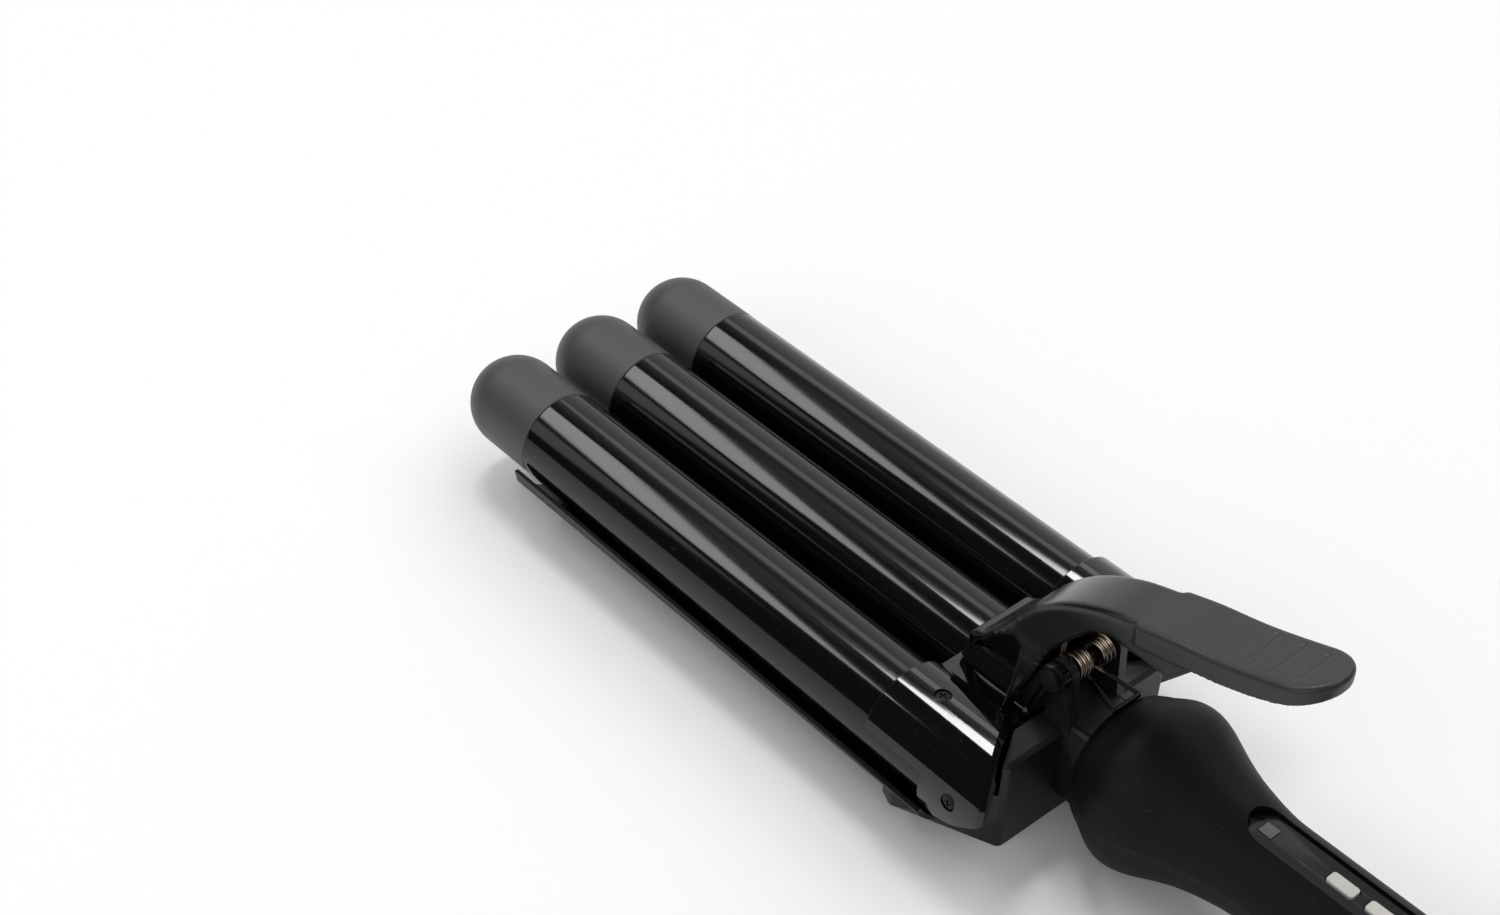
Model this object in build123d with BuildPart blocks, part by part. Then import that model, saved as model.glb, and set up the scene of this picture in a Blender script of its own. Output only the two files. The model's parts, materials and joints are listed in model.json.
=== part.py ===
"""Three-barrel hair waver: three heated barrels on a jaw that hinges over a fixed wave plate.

Frame: +X from the handle to the barrel tips, +Z up, millimetres, origin under the middle of the
bounding box. Distances called "back" run from the cap seam towards the handle, heights run from
the plane of the barrel axes.
"""

import os

from build123d import *

# ---- driving sizes -------------------------------------------------------------------------
BARREL_D = 25.0
BARREL_GAP = 3.1
BARREL_WALL = 1.0
CAP_LENGTH = 31.0
TOTAL_LENGTH = 373.0
FIT = 0.05          # running or seated fit, radial
CLEAR = 0.4         # between bodies that move past each other
SMALL_GAP = 0.25    # between loose pieces of one body
OVERCUT = 1.0       # how far a cutting tool runs past the face that it opens

BARREL_R = BARREL_D / 2
PITCH = BARREL_D + BARREL_GAP
TUBE_BORE_R = BARREL_R - BARREL_WALL
CAP_ROUND_START = CAP_LENGTH - BARREL_R

# head (the moving black housing behind the barrels)
SLEEVE_WALL = 1.5
SLEEVE_R = BARREL_R + SLEEVE_WALL
HEAD_FRONT = 127.5
TUBE_SEAT = 146.0
HEAD_REAR = 150.0
WING_FRONT = 148.2
WING_REAR = 165.6
WING_INNER_Y = PITCH / 2
WING_OUTER_Y = PITCH + SLEEVE_R + CLEAR
HEAD_REAR_EDGE = 1.4
HEAD_LIP_EDGE = 0.4
WEB_TOP_FRONT = 8.5
WEB_TOP_REAR = 4.0
WEB_BOTTOM = -3.0
NOTCH_TOP = 4.2
SKIRT_FRONT = 147.2
SKIRT_Z = -8.0
SKIRT_MID = (156.5, -3.5)
SKIRT_END = (163.5, 1.5)
TOP_SCREW_BACK = 138.4
SIDE_SCREW_BACK = 155.0
SIDE_SCREW_UP = 2.5
SCREW_HEAD_R = 1.9
SCREW_SHANK_R = 1.1

# wave plate
PLATE_GAP = 0.7
PLATE_T = 1.2
PLATE_FRONT = -1.0
PLATE_REAR = 147.0
PLATE_EDGE_UP = -6.6
PLATE_IN_R = SLEEVE_R + PLATE_GAP
PLATE_OUT_R = PLATE_IN_R + PLATE_T

# hinge
HINGE_BACK = 155.0
HINGE_UP = 21.0
PIN_R = 1.6
EAR_IN = 9.4
EAR_T = 2.0
EAR_R = 3.8
LUG_IN = 6.6
LUG_T = 2.4
LUG_R = 3.7
LUG_ROOT = 2.0
LUG_SHIFT = 1.0

# torsion spring
WIRE_R = 0.6
WIRE_SIDES = 8
WIRE_LAP = 0.5
COIL_R = 2.9
COIL_PITCH = 1.35
COIL_TURNS = 3.25
COIL_INNER_Y = 1.4
LOOP_BACK = 167.8
LOOP_UP = 17.6

# lever
LEVER_HALF = 9.0
LEVER_NECK = 7.8
LEVER_FOOT = 14.2
LEVER_FRONT = 9.6
LEVER_EDGE = 0.9
LEVER_TIP = 217.5
LEVER_UPPER = [(128.0, 15.3), (131.0, 16.4), (135.0, 20.5), (140.0, 28.0), (145.0, 33.8),
               (150.0, 38.2), (155.5, 41.8), (163.5, 45.6), (171.0, 48.0), (180.0, 50.8),
               (190.0, 53.2), (200.0, 56.2), (209.0, 59.4), (217.5, 62.6)]
LEVER_LOWER = [(217.5, 58.4), (209.0, 54.0), (200.0, 50.2), (190.0, 47.2), (180.0, 44.8),
               (172.0, 42.8), (166.0, 40.8), (160.0, 36.6), (154.6, 30.0), (150.4, 23.6),
               (148.4, 17.0), (146.6, 12.0), (145.0, 5.0)]
LEVER_FRONT_FOOT = (128.0, 5.0)
RIB_PROFILE = [(160.5, 37.6), (166.0, 39.4), (181.0, 39.4), (188.5, 47.8), (170.0, 43.0)]

# lower housing, block and neck
FLOOR = -21.5
HOUSING_FRONT = 130.0
DECK_UP = 5.5
SHELF_UP = -14.5
HOUSING_TOP_OUTLINE = [(130.0, 33.0), (132.5, 38.6), (137.0, 40.5), (158.0, 26.0)]
HOUSING_FOOT_OUTLINE = [(133.5, 28.0), (135.0, 31.8), (138.0, 33.4), (157.8, 25.4)]
HOUSING_CORNER_R = 2.0
DECK_EDGE = 1.0
NECK_HALF = 8.6
NECK_CORNER_R = 2.0
NECK_TOP = 8.0
NECK_BOTTOM = -15.5
NECK_FRONT = 151.6
SPIGOT_R = 10.5
FLANGE_R = 12.4
FLANGE_T = 3.0

# handle
BULGE_R = 21.2
HANDLE_R = 12.5
HANDLE_WALL = 2.4
HANDLE_FRONT = 165.4
HANDLE_PROFILE = [(165.6, 13.4), (167.2, 15.6), (172.0, 18.4), (176.0, 20.5), (180.0, BULGE_R),
                  (185.0, 20.1), (190.0, 17.9), (198.0, 14.9), (204.0, 13.5), (212.0, HANDLE_R)]
FRONT_WALL = 3.0
FRONT_CAVITY_R = 13.4

# control panel
PANEL_FRONT = 204.0
PANEL_LENGTH = 66.0
PANEL_WIDTH = 10.0
PANEL_UP = 10.4
PANEL_T = 1.2
INDICATOR_BACK = 208.9
INDICATOR_SIZE = 3.6
KEY_BACK = [228.5, 238.5, 248.5]
KEY_NAMES = ["power_key", "plus_key", "minus_key"]
KEY_LENGTH = 7.0
KEY_WIDTH = 3.4
KEY_PROUD = 0.5
KEY_STEM_W = 2.0
KEY_TRAVEL = 0.4
BOARD_T = 1.6
BOARD_UP = 5.0
SWITCH_H = 2.0
SWITCH_SIZE = 4.0

# rear gland
END_CAP_T = 3.0
GLAND_PROUD = 9.0
GLAND_R = 8.0
CORD_R = 3.2

AXIS_Z = -FLOOR
SEAM_X = TOTAL_LENGTH / 2 - CAP_LENGTH
HANDLE_AXIS = FLOOR + BULGE_R
GLAND_END = TOTAL_LENGTH - CAP_LENGTH
END_CAP_REAR = GLAND_END - GLAND_PROUD
HANDLE_REAR = END_CAP_REAR - END_CAP_T
SIDES = (1, -1)
BARREL_YS = {"left": PITCH, "middle": 0.0, "right": -PITCH}
REACH = 2 * PITCH + BARREL_D      # wider than the whole waver, for cutting tools

# Side view: local x is the distance back, local y the height, the normal points to the left.
SIDE = Plane(origin=(SEAM_X, 0, AXIS_Z), x_dir=(-1, 0, 0), z_dir=(0, 1, 0))
# Plan view: local x is the distance back, local y is to the left, the normal points down.
PLAN = Plane(origin=(SEAM_X, 0, AXIS_Z), x_dir=(-1, 0, 0), z_dir=(0, 0, -1))


def station(back):
    """A cross-section plane: local x to the left, local y up, the normal towards the tips."""
    return Plane(origin=(SEAM_X - back, 0, AXIS_Z), x_dir=(0, 1, 0), z_dir=(1, 0, 0))


def level(up):
    """A plan plane at a height above the barrel axes."""
    return PLAN.offset(-up)


def save(part, name):
    """Label a sub-part and write its file."""
    part.label = name
    export_step(part, f"parts/{name}.step")


def mirrored(points):
    """A closed outline from the left half's points."""
    return points + [(back, -y) for back, y in reversed(points)]


def x_axis(y, up):
    """The axis along X at a side offset and a height."""
    return Axis((SEAM_X, y, AXIS_Z + up), (1, 0, 0))


def ear_outline(margin):
    """A hinge ear's side outline, from the pin down on to the middle sleeve."""
    with Locations((HINGE_BACK, HINGE_UP)):
        Circle(EAR_R + margin)
    with Locations((HEAD_REAR - EAR_R / 2, WEB_TOP_FRONT)):
        Rectangle(EAR_R + 2 * margin, EAR_R + 2 * margin)
    make_hull()


os.makedirs("parts", exist_ok=True)

# ---- barrels, caps and heaters ---------------------------------------------------------------
TUBE_END_GAP = 1.0
TUBE_LENGTH = TUBE_SEAT - TUBE_END_GAP
CAP_SPIGOT = 6.0
CAP_WALL = 2.0
CAP_CHAMFER = 0.3
CAP_FIT_R = TUBE_BORE_R - FIT
CAP_BORE_R = CAP_FIT_R - CAP_WALL
HEATER_T = 5.0
HEATER_W = 15.0
HEATER_START = 14.0
HEATER_END = 124.0
SPREADER_R = TUBE_BORE_R - FIT
SPREADER_BORE_R = 3.4
SPREADER_BORE_UP = (SPREADER_R + HEATER_T / 2) / 2

for place, y in BARREL_YS.items():
    with BuildPart() as barrel:
        with BuildSketch(station(0)):
            with Locations((y, 0)):
                Circle(BARREL_R)
                Circle(TUBE_BORE_R, mode=Mode.SUBTRACT)
        extrude(amount=-TUBE_LENGTH)
        if y:
            with BuildSketch(level(0)):
                with Locations((TOP_SCREW_BACK, y)):
                    Circle(SCREW_SHANK_R + FIT)
            extrude(amount=-REACH, mode=Mode.SUBTRACT)
    save(barrel.part, f"barrel_{place}")

    with BuildPart() as cap:
        with BuildSketch(SIDE.offset(y)):
            with BuildLine():
                Polyline((-CAP_ROUND_START, 0), (-CAP_ROUND_START, CAP_BORE_R),
                         (CAP_SPIGOT, CAP_BORE_R), (CAP_SPIGOT, CAP_FIT_R), (0, CAP_FIT_R),
                         (0, BARREL_R - CAP_CHAMFER), (-CAP_CHAMFER, BARREL_R),
                         (-CAP_ROUND_START, BARREL_R))
                RadiusArc((-CAP_ROUND_START, BARREL_R), (-CAP_LENGTH, 0), -BARREL_R)
                Line((-CAP_LENGTH, 0), (-CAP_ROUND_START, 0))
            make_face()
        revolve(axis=x_axis(y, 0))
    save(cap.part, f"cap_{place}")

    with BuildPart() as heater:
        with BuildSketch(station(HEATER_START)):
            with Locations((y, 0)):
                Rectangle(HEATER_W, HEATER_T)
        extrude(amount=-(HEATER_END - HEATER_START))
    save(heater.part, f"heater_{place}")

    with BuildPart() as spreaders:
        with BuildSketch(station(HEATER_START)):
            with Locations((y, 0)):
                Circle(SPREADER_R)
                Rectangle(BARREL_D, HEATER_T, mode=Mode.SUBTRACT)
            with Locations((y, SPREADER_BORE_UP), (y, -SPREADER_BORE_UP)):
                Circle(SPREADER_BORE_R, mode=Mode.SUBTRACT)
        extrude(amount=-(HEATER_END - HEATER_START))
    save(spreaders.part, f"heat_spreaders_{place}")

FUSE_R = 2.0
FUSE_LENGTH = 10.0
FUSE_GAP = 2.0
with BuildPart() as thermal_fuse:
    with BuildSketch(station(HEATER_END + FUSE_GAP)):
        with Locations((0, -TUBE_BORE_R + FUSE_R + FIT)):
            Circle(FUSE_R)
    extrude(amount=-FUSE_LENGTH)
save(thermal_fuse.part, "thermal_fuse")

# ---- barrel head -----------------------------------------------------------------------------
SCREW_SINK = 0.9
HEAD_SCREW_LENGTH = 2.4
SIDE_SCREW_LENGTH = 7.0
HEAD_HOLE_GAP = 0.15

with BuildPart() as barrel_head:
    with BuildSketch(station(HEAD_FRONT)):
        with Locations((-PITCH, 0), (0, 0), (PITCH, 0)):
            Circle(SLEEVE_R)
    extrude(amount=-(WING_REAR + OVERCUT - HEAD_FRONT))
    # the rear of the sleeves sweeps back towards the sides
    with BuildSketch(level(-REACH)):
        Polygon(*mirrored([(HEAD_REAR, WING_INNER_Y), (WING_FRONT, WING_INNER_Y),
                           (WING_REAR, WING_OUTER_Y), (WING_REAR, REACH),
                           (2 * WING_REAR, REACH)]), align=None)
    extrude(amount=-2 * REACH, mode=Mode.SUBTRACT)
    chamfer(barrel_head.faces().sort_by(Axis.X)[:3].edges(), length=HEAD_REAR_EDGE)
    chamfer(barrel_head.faces().sort_by(Axis.X)[-3:].edges(), length=HEAD_LIP_EDGE)
    with BuildSketch(SIDE):
        Polygon((HEAD_FRONT, WEB_BOTTOM), (HEAD_FRONT, WEB_TOP_FRONT), (HEAD_REAR, WEB_TOP_REAR),
                (HEAD_REAR, WEB_BOTTOM), align=None)
    extrude(amount=PITCH, both=True)
    # the underside rises towards the rear so that the jaw can tip
    with BuildSketch(SIDE):
        Polygon((SKIRT_FRONT, -REACH), (SKIRT_FRONT, SKIRT_Z), SKIRT_MID, SKIRT_END,
                (WING_REAR + SLEEVE_R, SLEEVE_R), (WING_REAR + SLEEVE_R, -REACH), align=None)
    extrude(amount=REACH, both=True, mode=Mode.SUBTRACT)
    # the outer sides are open below, in front of the skirts
    for side in SIDES:
        with BuildSketch(SIDE.offset(side * (PITCH + REACH / 2))):
            Polygon((0, -REACH), (0, NOTCH_TOP), (TUBE_SEAT, NOTCH_TOP), (TUBE_SEAT, -REACH),
                    align=None)
        extrude(amount=REACH / 2, both=True, mode=Mode.SUBTRACT)
    # hinge ears
    for side in SIDES:
        with BuildSketch(SIDE.offset(side * (EAR_IN + EAR_T / 2))):
            ear_outline(0)
            with Locations((HINGE_BACK, HINGE_UP)):
                Circle(PIN_R + FIT, mode=Mode.SUBTRACT)
        extrude(amount=EAR_T / 2, both=True)
    # seats for the tubes
    with BuildSketch(station(HEAD_FRONT)):
        with Locations((-PITCH, 0), (0, 0), (PITCH, 0)):
            Circle(BARREL_R + FIT)
    extrude(amount=-(TUBE_SEAT - HEAD_FRONT), mode=Mode.SUBTRACT)
    # recessed screws on top and at the sides
    with BuildSketch(level(SLEEVE_R - SCREW_SINK)):
        with Locations((TOP_SCREW_BACK, PITCH), (TOP_SCREW_BACK, -PITCH)):
            Circle(SCREW_HEAD_R + HEAD_HOLE_GAP)
    extrude(amount=-SLEEVE_R, mode=Mode.SUBTRACT)
    with BuildSketch(level(BARREL_R - BARREL_WALL)):
        with Locations((TOP_SCREW_BACK, PITCH), (TOP_SCREW_BACK, -PITCH)):
            Circle(SCREW_SHANK_R + FIT)
    extrude(amount=-SLEEVE_R, mode=Mode.SUBTRACT)
    for side in SIDES:
        with BuildSketch(SIDE.offset(side * (PITCH + SLEEVE_R - SCREW_SINK))):
            with Locations((SIDE_SCREW_BACK, SIDE_SCREW_UP)):
                Circle(SCREW_HEAD_R + HEAD_HOLE_GAP)
        extrude(amount=side * SLEEVE_R, mode=Mode.SUBTRACT)
        with BuildSketch(SIDE.offset(side * (PITCH + SLEEVE_R))):
            with Locations((SIDE_SCREW_BACK, SIDE_SCREW_UP)):
                Circle(SCREW_SHANK_R + FIT)
        extrude(amount=-side * (SIDE_SCREW_LENGTH + SCREW_SINK), mode=Mode.SUBTRACT)
save(barrel_head.part, "barrel_head")

HEAD_T = 0.7
with BuildPart() as head_screws:
    for side in SIDES:
        with BuildSketch(level(SLEEVE_R - SCREW_SINK)):
            with Locations((TOP_SCREW_BACK, side * PITCH)):
                Circle(SCREW_HEAD_R)
        extrude(amount=-HEAD_T)
        with BuildSketch(level(SLEEVE_R - SCREW_SINK)):
            with Locations((TOP_SCREW_BACK, side * PITCH)):
                Circle(SCREW_SHANK_R)
        extrude(amount=HEAD_SCREW_LENGTH - SCREW_SINK)
        with BuildSketch(SIDE.offset(side * (PITCH + SLEEVE_R - SCREW_SINK))):
            with Locations((SIDE_SCREW_BACK, SIDE_SCREW_UP)):
                Circle(SCREW_HEAD_R)
        extrude(amount=side * HEAD_T)
        with BuildSketch(SIDE.offset(side * (PITCH + SLEEVE_R - SCREW_SINK))):
            with Locations((SIDE_SCREW_BACK, SIDE_SCREW_UP)):
                Circle(SCREW_SHANK_R)
        extrude(amount=-side * (SIDE_SCREW_LENGTH - SCREW_SINK))
save(head_screws.part, "head_screws")

# ---- lever -----------------------------------------------------------------------------------
LEVER_TOP = 70.0
PADDLE_UP = LEVER_LOWER[5][1] - CLEAR
FOOT_FRONT = 140.5
FOOT_STEP = 142.6
FOOT_REAR = 155.0
PADDLE_STEP = 171.4
PADDLE_FRONT = 172.2
LEVER_FLARE = [(LEVER_NECK, 34.0), (8.2, 26.0), (9.4, 20.0), (11.2, 14.0), (LEVER_FOOT, 5.0)]
LEVER_PLAN = [(HEAD_FRONT - OVERCUT, LEVER_FRONT), (FOOT_FRONT, LEVER_FRONT),
              (FOOT_STEP, LEVER_FOOT), (FOOT_REAR, LEVER_FOOT), (FOOT_REAR, LEVER_NECK),
              (PADDLE_STEP, LEVER_NECK), (PADDLE_FRONT, LEVER_HALF),
              (LEVER_TIP - LEVER_HALF, LEVER_HALF)]
LEVER_POCKET = [(132.5, 4.0), (132.5, 14.6), (137.5, 19.0), (142.5, 26.0), (147.5, 31.5),
                (152.5, 35.6), (158.0, 39.0), (165.0, 42.2), (171.0, 44.4), (186.0, 48.4),
                (186.0, 38.0), (150.0, 4.0)]
POCKET_HALF = 6.4
LEVER_SIDE_RECESS = [(129.6, 0.0), (129.6, 12.2), (133.0, 16.4), (137.0, 19.8), (140.4, 21.4),
                     (142.4, 20.6), (143.3, 16.0), (143.6, 0.0)]
RECESS_IN = 7.6

with BuildPart() as lever:
    with BuildSketch(SIDE):
        with BuildLine():
            Spline(*LEVER_UPPER)
            Line(LEVER_UPPER[-1], LEVER_LOWER[0])
            Spline(*LEVER_LOWER)
            Polyline(LEVER_LOWER[-1], LEVER_FRONT_FOOT, LEVER_UPPER[0])
        make_face()
    extrude(amount=2 * LEVER_HALF, both=True)
    with BuildSketch(station(HEAD_FRONT - OVERCUT)):
        with BuildLine():
            Polyline((0, LEVER_TOP), (LEVER_HALF, LEVER_TOP), (LEVER_HALF, PADDLE_UP),
                     (LEVER_NECK, PADDLE_UP), LEVER_FLARE[0])
            Spline(*LEVER_FLARE, tangents=[(0, -1), (0.4, -1)])
            Line(LEVER_FLARE[-1], (0, LEVER_FLARE[-1][1]))
            mirror(about=Plane.YZ)
        make_face()
    extrude(amount=-(LEVER_TIP - HEAD_FRONT + 2 * OVERCUT), mode=Mode.INTERSECT)
    with BuildSketch(level(0)):
        with BuildLine():
            Polyline(*LEVER_PLAN)
            RadiusArc(LEVER_PLAN[-1], (LEVER_PLAN[-1][0], -LEVER_HALF), LEVER_HALF)
            Polyline(*[(back, -half) for back, half in reversed(LEVER_PLAN)], LEVER_PLAN[0])
        make_face()
    extrude(amount=-REACH, mode=Mode.INTERSECT)
    top_faces = lever.faces().filter_by(GeomType.EXTRUSION).sort_by(Axis.Z)[-2:]
    chamfer([edge for edge in top_faces.edges() if edge.length > LEVER_EDGE * 2
             and abs(edge.center().Y) > LEVER_EDGE], length=LEVER_EDGE)
    with BuildSketch(SIDE):
        Polygon(*LEVER_POCKET, align=None)
    extrude(amount=POCKET_HALF, both=True, mode=Mode.SUBTRACT)
    for side in SIDES:
        with BuildSketch(SIDE.offset(side * RECESS_IN)):
            Polygon(*LEVER_SIDE_RECESS, align=None)
        extrude(amount=side * REACH, mode=Mode.SUBTRACT)
        with BuildSketch(SIDE.offset(side * (LEVER_NECK + POCKET_HALF) / 2)):
            Polygon(*RIB_PROFILE, align=None)
        extrude(amount=(LEVER_NECK - POCKET_HALF) / 2, both=True)
        with BuildSketch(SIDE.offset(side * (EAR_IN - FIT))):
            ear_outline(FIT)
        extrude(amount=side * REACH, mode=Mode.SUBTRACT)
    with BuildSketch(SIDE):
        Polygon((HEAD_FRONT - OVERCUT, WEB_BOTTOM),
                (HEAD_FRONT - OVERCUT, WEB_TOP_FRONT + 2 * FIT),
                (HEAD_FRONT, WEB_TOP_FRONT + 2 * FIT), (HEAD_REAR, WEB_TOP_REAR + 2 * FIT),
                (HEAD_REAR, WEB_BOTTOM), align=None)
    extrude(amount=PITCH, both=True, mode=Mode.SUBTRACT)
    with BuildSketch(station(HEAD_FRONT - OVERCUT)):
        Circle(SLEEVE_R + FIT)
    extrude(amount=-(HEAD_REAR - HEAD_FRONT + 2 * OVERCUT), mode=Mode.SUBTRACT)
save(lever.part, "lever")

# ---- hinge pin and torsion spring --------------------------------------------------------------
PIN_HEAD_R = 2.5
PIN_HEAD_T = 1.0
PIN_HALF = EAR_IN + EAR_T + SMALL_GAP
with BuildPart() as hinge_pin:
    with BuildSketch(SIDE):
        with Locations((HINGE_BACK, HINGE_UP)):
            Circle(PIN_R)
    extrude(amount=PIN_HALF, both=True)
    for side in SIDES:
        with BuildSketch(SIDE.offset(side * PIN_HALF)):
            with Locations((HINGE_BACK, HINGE_UP)):
                Circle(PIN_HEAD_R)
        extrude(amount=side * PIN_HEAD_T)
save(hinge_pin.part, "hinge_pin")

HINGE_X = SEAM_X - HINGE_BACK
HINGE_Z = AXIS_Z + HINGE_UP
COIL_LENGTH = COIL_PITCH * COIL_TURNS
LOOP_HALF = 4.2
LEG_TOP = (152.4, 34.5)
with BuildPart() as torsion_spring:
    with BuildLine() as coil:
        turns = Helix(COIL_PITCH, COIL_LENGTH, COIL_R, lefthand=True, mode=Mode.PRIVATE,
                      center=(HINGE_X, COIL_INNER_Y, HINGE_Z), direction=(0, 1, 0))
        add(turns.rotate(Axis((HINGE_X, 0, HINGE_Z), (0, 1, 0)), 180))
    inner, outer = coil.line @ 0, coil.line @ 1
    with BuildSketch(coil.line ^ 0):
        RegularPolygon(WIRE_R, WIRE_SIDES)
    sweep(path=coil.line)
    loop_end = Vector(SEAM_X - LOOP_BACK, LOOP_HALF, AXIS_Z + LOOP_UP)
    leg_end = Vector(SEAM_X - LEG_TOP[0], outer.Y, AXIS_Z + LEG_TOP[1])
    for start, end in ((inner, loop_end), (outer, leg_end),
                       (loop_end, Vector(loop_end.X, 0, loop_end.Z))):
        direction = (end - start).normalized()
        with BuildSketch(Plane(origin=start - direction * WIRE_LAP, z_dir=direction)):
            RegularPolygon(WIRE_R, WIRE_SIDES)
        extrude(amount=(end - start).length + 2 * WIRE_LAP)
    mirror(about=Plane.XZ)
save(torsion_spring.part, "torsion_spring")

# ---- wave plate --------------------------------------------------------------------------------
SCREW_BACK = 140.0
PLATE_SCREW_R = 1.25
PLATE_CUT_UP = -2.0
with BuildPart() as wave_plate:
    with BuildSketch(station(PLATE_FRONT)):
        with Locations((-PITCH, 0), (0, 0), (PITCH, 0)):
            Circle(PLATE_OUT_R)
        with Locations((-PITCH, 0), (0, 0), (PITCH, 0)):
            Circle(PLATE_IN_R, mode=Mode.SUBTRACT)
        with Locations((0, PLATE_CUT_UP)):
            Rectangle(REACH * 2, REACH, align=(Align.CENTER, Align.MIN), mode=Mode.SUBTRACT)
        for side in SIDES:
            with Locations((side * PITCH, PLATE_EDGE_UP)):
                Rectangle(REACH, REACH, mode=Mode.SUBTRACT,
                          align=(Align.MIN if side > 0 else Align.MAX, Align.MIN))
    extrude(amount=-(PLATE_REAR - PLATE_FRONT))
    with BuildSketch(level(0)):
        with Locations((SCREW_BACK, -PITCH), (SCREW_BACK, 0), (SCREW_BACK, PITCH)):
            Circle(PLATE_SCREW_R + FIT)
    extrude(amount=REACH, mode=Mode.SUBTRACT)
save(wave_plate.part, "wave_plate")

# ---- lower housing: nose, block, neck and hinge lugs -------------------------------------------
TROUGH_R = PLATE_OUT_R + FIT
REAR_GAP = 0.8
SPACE_UP = -6.0
PLATE_END_GAP = 0.3
PLATE_STOP = PLATE_REAR + PLATE_END_GAP
SKIRT_GAP = 0.8
WING_SLOPE = (WING_OUTER_Y - WING_INNER_Y) / (WING_REAR - WING_FRONT)
WING_SQUARE_Y = WING_INNER_Y + (HEAD_REAR - WING_FRONT) * WING_SLOPE
with BuildPart() as head_space:
    with BuildSketch(station(HOUSING_FRONT - OVERCUT)):
        with Locations((-PITCH, 0), (0, 0), (PITCH, 0)):
            Circle(TROUGH_R)
    extrude(amount=-(PLATE_STOP - HOUSING_FRONT + OVERCUT))
    with BuildSketch(SIDE):
        Polygon((HOUSING_FRONT - OVERCUT, SPACE_UP), (PLATE_STOP, SPACE_UP),
                (PLATE_STOP, SKIRT_Z - SKIRT_GAP), (SKIRT_MID[0], SKIRT_MID[1] - SKIRT_GAP),
                (SKIRT_END[0], SKIRT_END[1] - SKIRT_GAP), (WING_REAR + SLEEVE_R, SLEEVE_R),
                (WING_REAR + SLEEVE_R, REACH), (HOUSING_FRONT - OVERCUT, REACH), align=None)
    extrude(amount=REACH, both=True)
    with BuildSketch(level(-REACH)):
        Polygon(*mirrored([(HEAD_REAR + REAR_GAP, WING_INNER_Y),
                           (HEAD_REAR + REAR_GAP, WING_SQUARE_Y),
                           (WING_REAR + REAR_GAP, WING_OUTER_Y),
                           (WING_REAR + REAR_GAP, REACH), (2 * WING_REAR, REACH)]), align=None)
    extrude(amount=-3 * REACH, mode=Mode.SUBTRACT)

PLATE_SCREW_HEAD_R = 2.5
PLATE_SCREW_SINK = 2.0
with BuildPart() as lower_housing:
    with BuildSketch(level(FLOOR)) as foot:
        Polygon(*mirrored(HOUSING_FOOT_OUTLINE), align=None)
        fillet(foot.vertices(), radius=HOUSING_CORNER_R)
    with BuildSketch(level(SHELF_UP)) as shelf:
        Polygon(*mirrored(HOUSING_TOP_OUTLINE), align=None)
        fillet(shelf.vertices(), radius=HOUSING_CORNER_R)
    loft(ruled=True)
    with BuildSketch(level(SHELF_UP)) as block:
        Polygon(*mirrored(HOUSING_TOP_OUTLINE), align=None)
        fillet(block.vertices(), radius=HOUSING_CORNER_R)
    extrude(amount=-(DECK_UP - SHELF_UP))
    chamfer(lower_housing.edges().group_by(Axis.Z)[-1], length=DECK_EDGE)
    add(head_space.part, mode=Mode.SUBTRACT)
    # neck and spigot
    with BuildSketch(station(NECK_FRONT)):
        with Locations((0, (NECK_TOP + NECK_BOTTOM) / 2)):
            RectangleRounded(2 * NECK_HALF, NECK_TOP - NECK_BOTTOM, NECK_CORNER_R)
    extrude(amount=-(HANDLE_FRONT - NECK_FRONT))
    with BuildSketch(station(HANDLE_FRONT - OVERCUT)):
        with Locations((0, HANDLE_AXIS)):
            Circle(SPIGOT_R)
    extrude(amount=-(FRONT_WALL + OVERCUT + FIT))
    with BuildSketch(station(HANDLE_FRONT + FRONT_WALL + FIT)):
        with Locations((0, HANDLE_AXIS)):
            Circle(FLANGE_R)
    extrude(amount=-FLANGE_T)
    # hinge lugs
    for side in SIDES:
        with BuildSketch(SIDE.offset(side * (LUG_IN + LUG_T / 2))):
            with Locations((HINGE_BACK, HINGE_UP)):
                Circle(LUG_R)
            with Locations((HINGE_BACK + LUG_SHIFT, NECK_TOP)):
                Rectangle(2 * LUG_R, LUG_ROOT, align=(Align.CENTER, Align.MAX))
            make_hull()
            with Locations((HINGE_BACK, HINGE_UP)):
                Circle(PIN_R + FIT, mode=Mode.SUBTRACT)
        extrude(amount=LUG_T / 2, both=True)
    # plate screw holes
    with BuildSketch(level(FLOOR)):
        with Locations((SCREW_BACK, -PITCH), (SCREW_BACK, 0), (SCREW_BACK, PITCH)):
            Circle(PLATE_SCREW_R + FIT)
    extrude(amount=FLOOR / 2, mode=Mode.SUBTRACT)
    with BuildSketch(level(FLOOR)):
        with Locations((SCREW_BACK, -PITCH), (SCREW_BACK, 0), (SCREW_BACK, PITCH)):
            Circle(PLATE_SCREW_HEAD_R + HEAD_HOLE_GAP)
    extrude(amount=-PLATE_SCREW_SINK, mode=Mode.SUBTRACT)
save(lower_housing.part, "lower_housing")

PLATE_SCREW_HEAD_T = 1.6
with BuildPart() as plate_screws:
    for y in BARREL_YS.values():
        with BuildSketch(level(FLOOR + PLATE_SCREW_SINK)):
            with Locations((SCREW_BACK, y)):
                Circle(PLATE_SCREW_HEAD_R)
        extrude(amount=PLATE_SCREW_HEAD_T)
        with BuildSketch(level(FLOOR + PLATE_SCREW_SINK)):
            with Locations((SCREW_BACK, y)):
                Circle(PLATE_SCREW_R)
        extrude(amount=-(-PLATE_OUT_R + PLATE_T / 2 - FLOOR - PLATE_SCREW_SINK))
save(plate_screws.part, "plate_screws")

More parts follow.
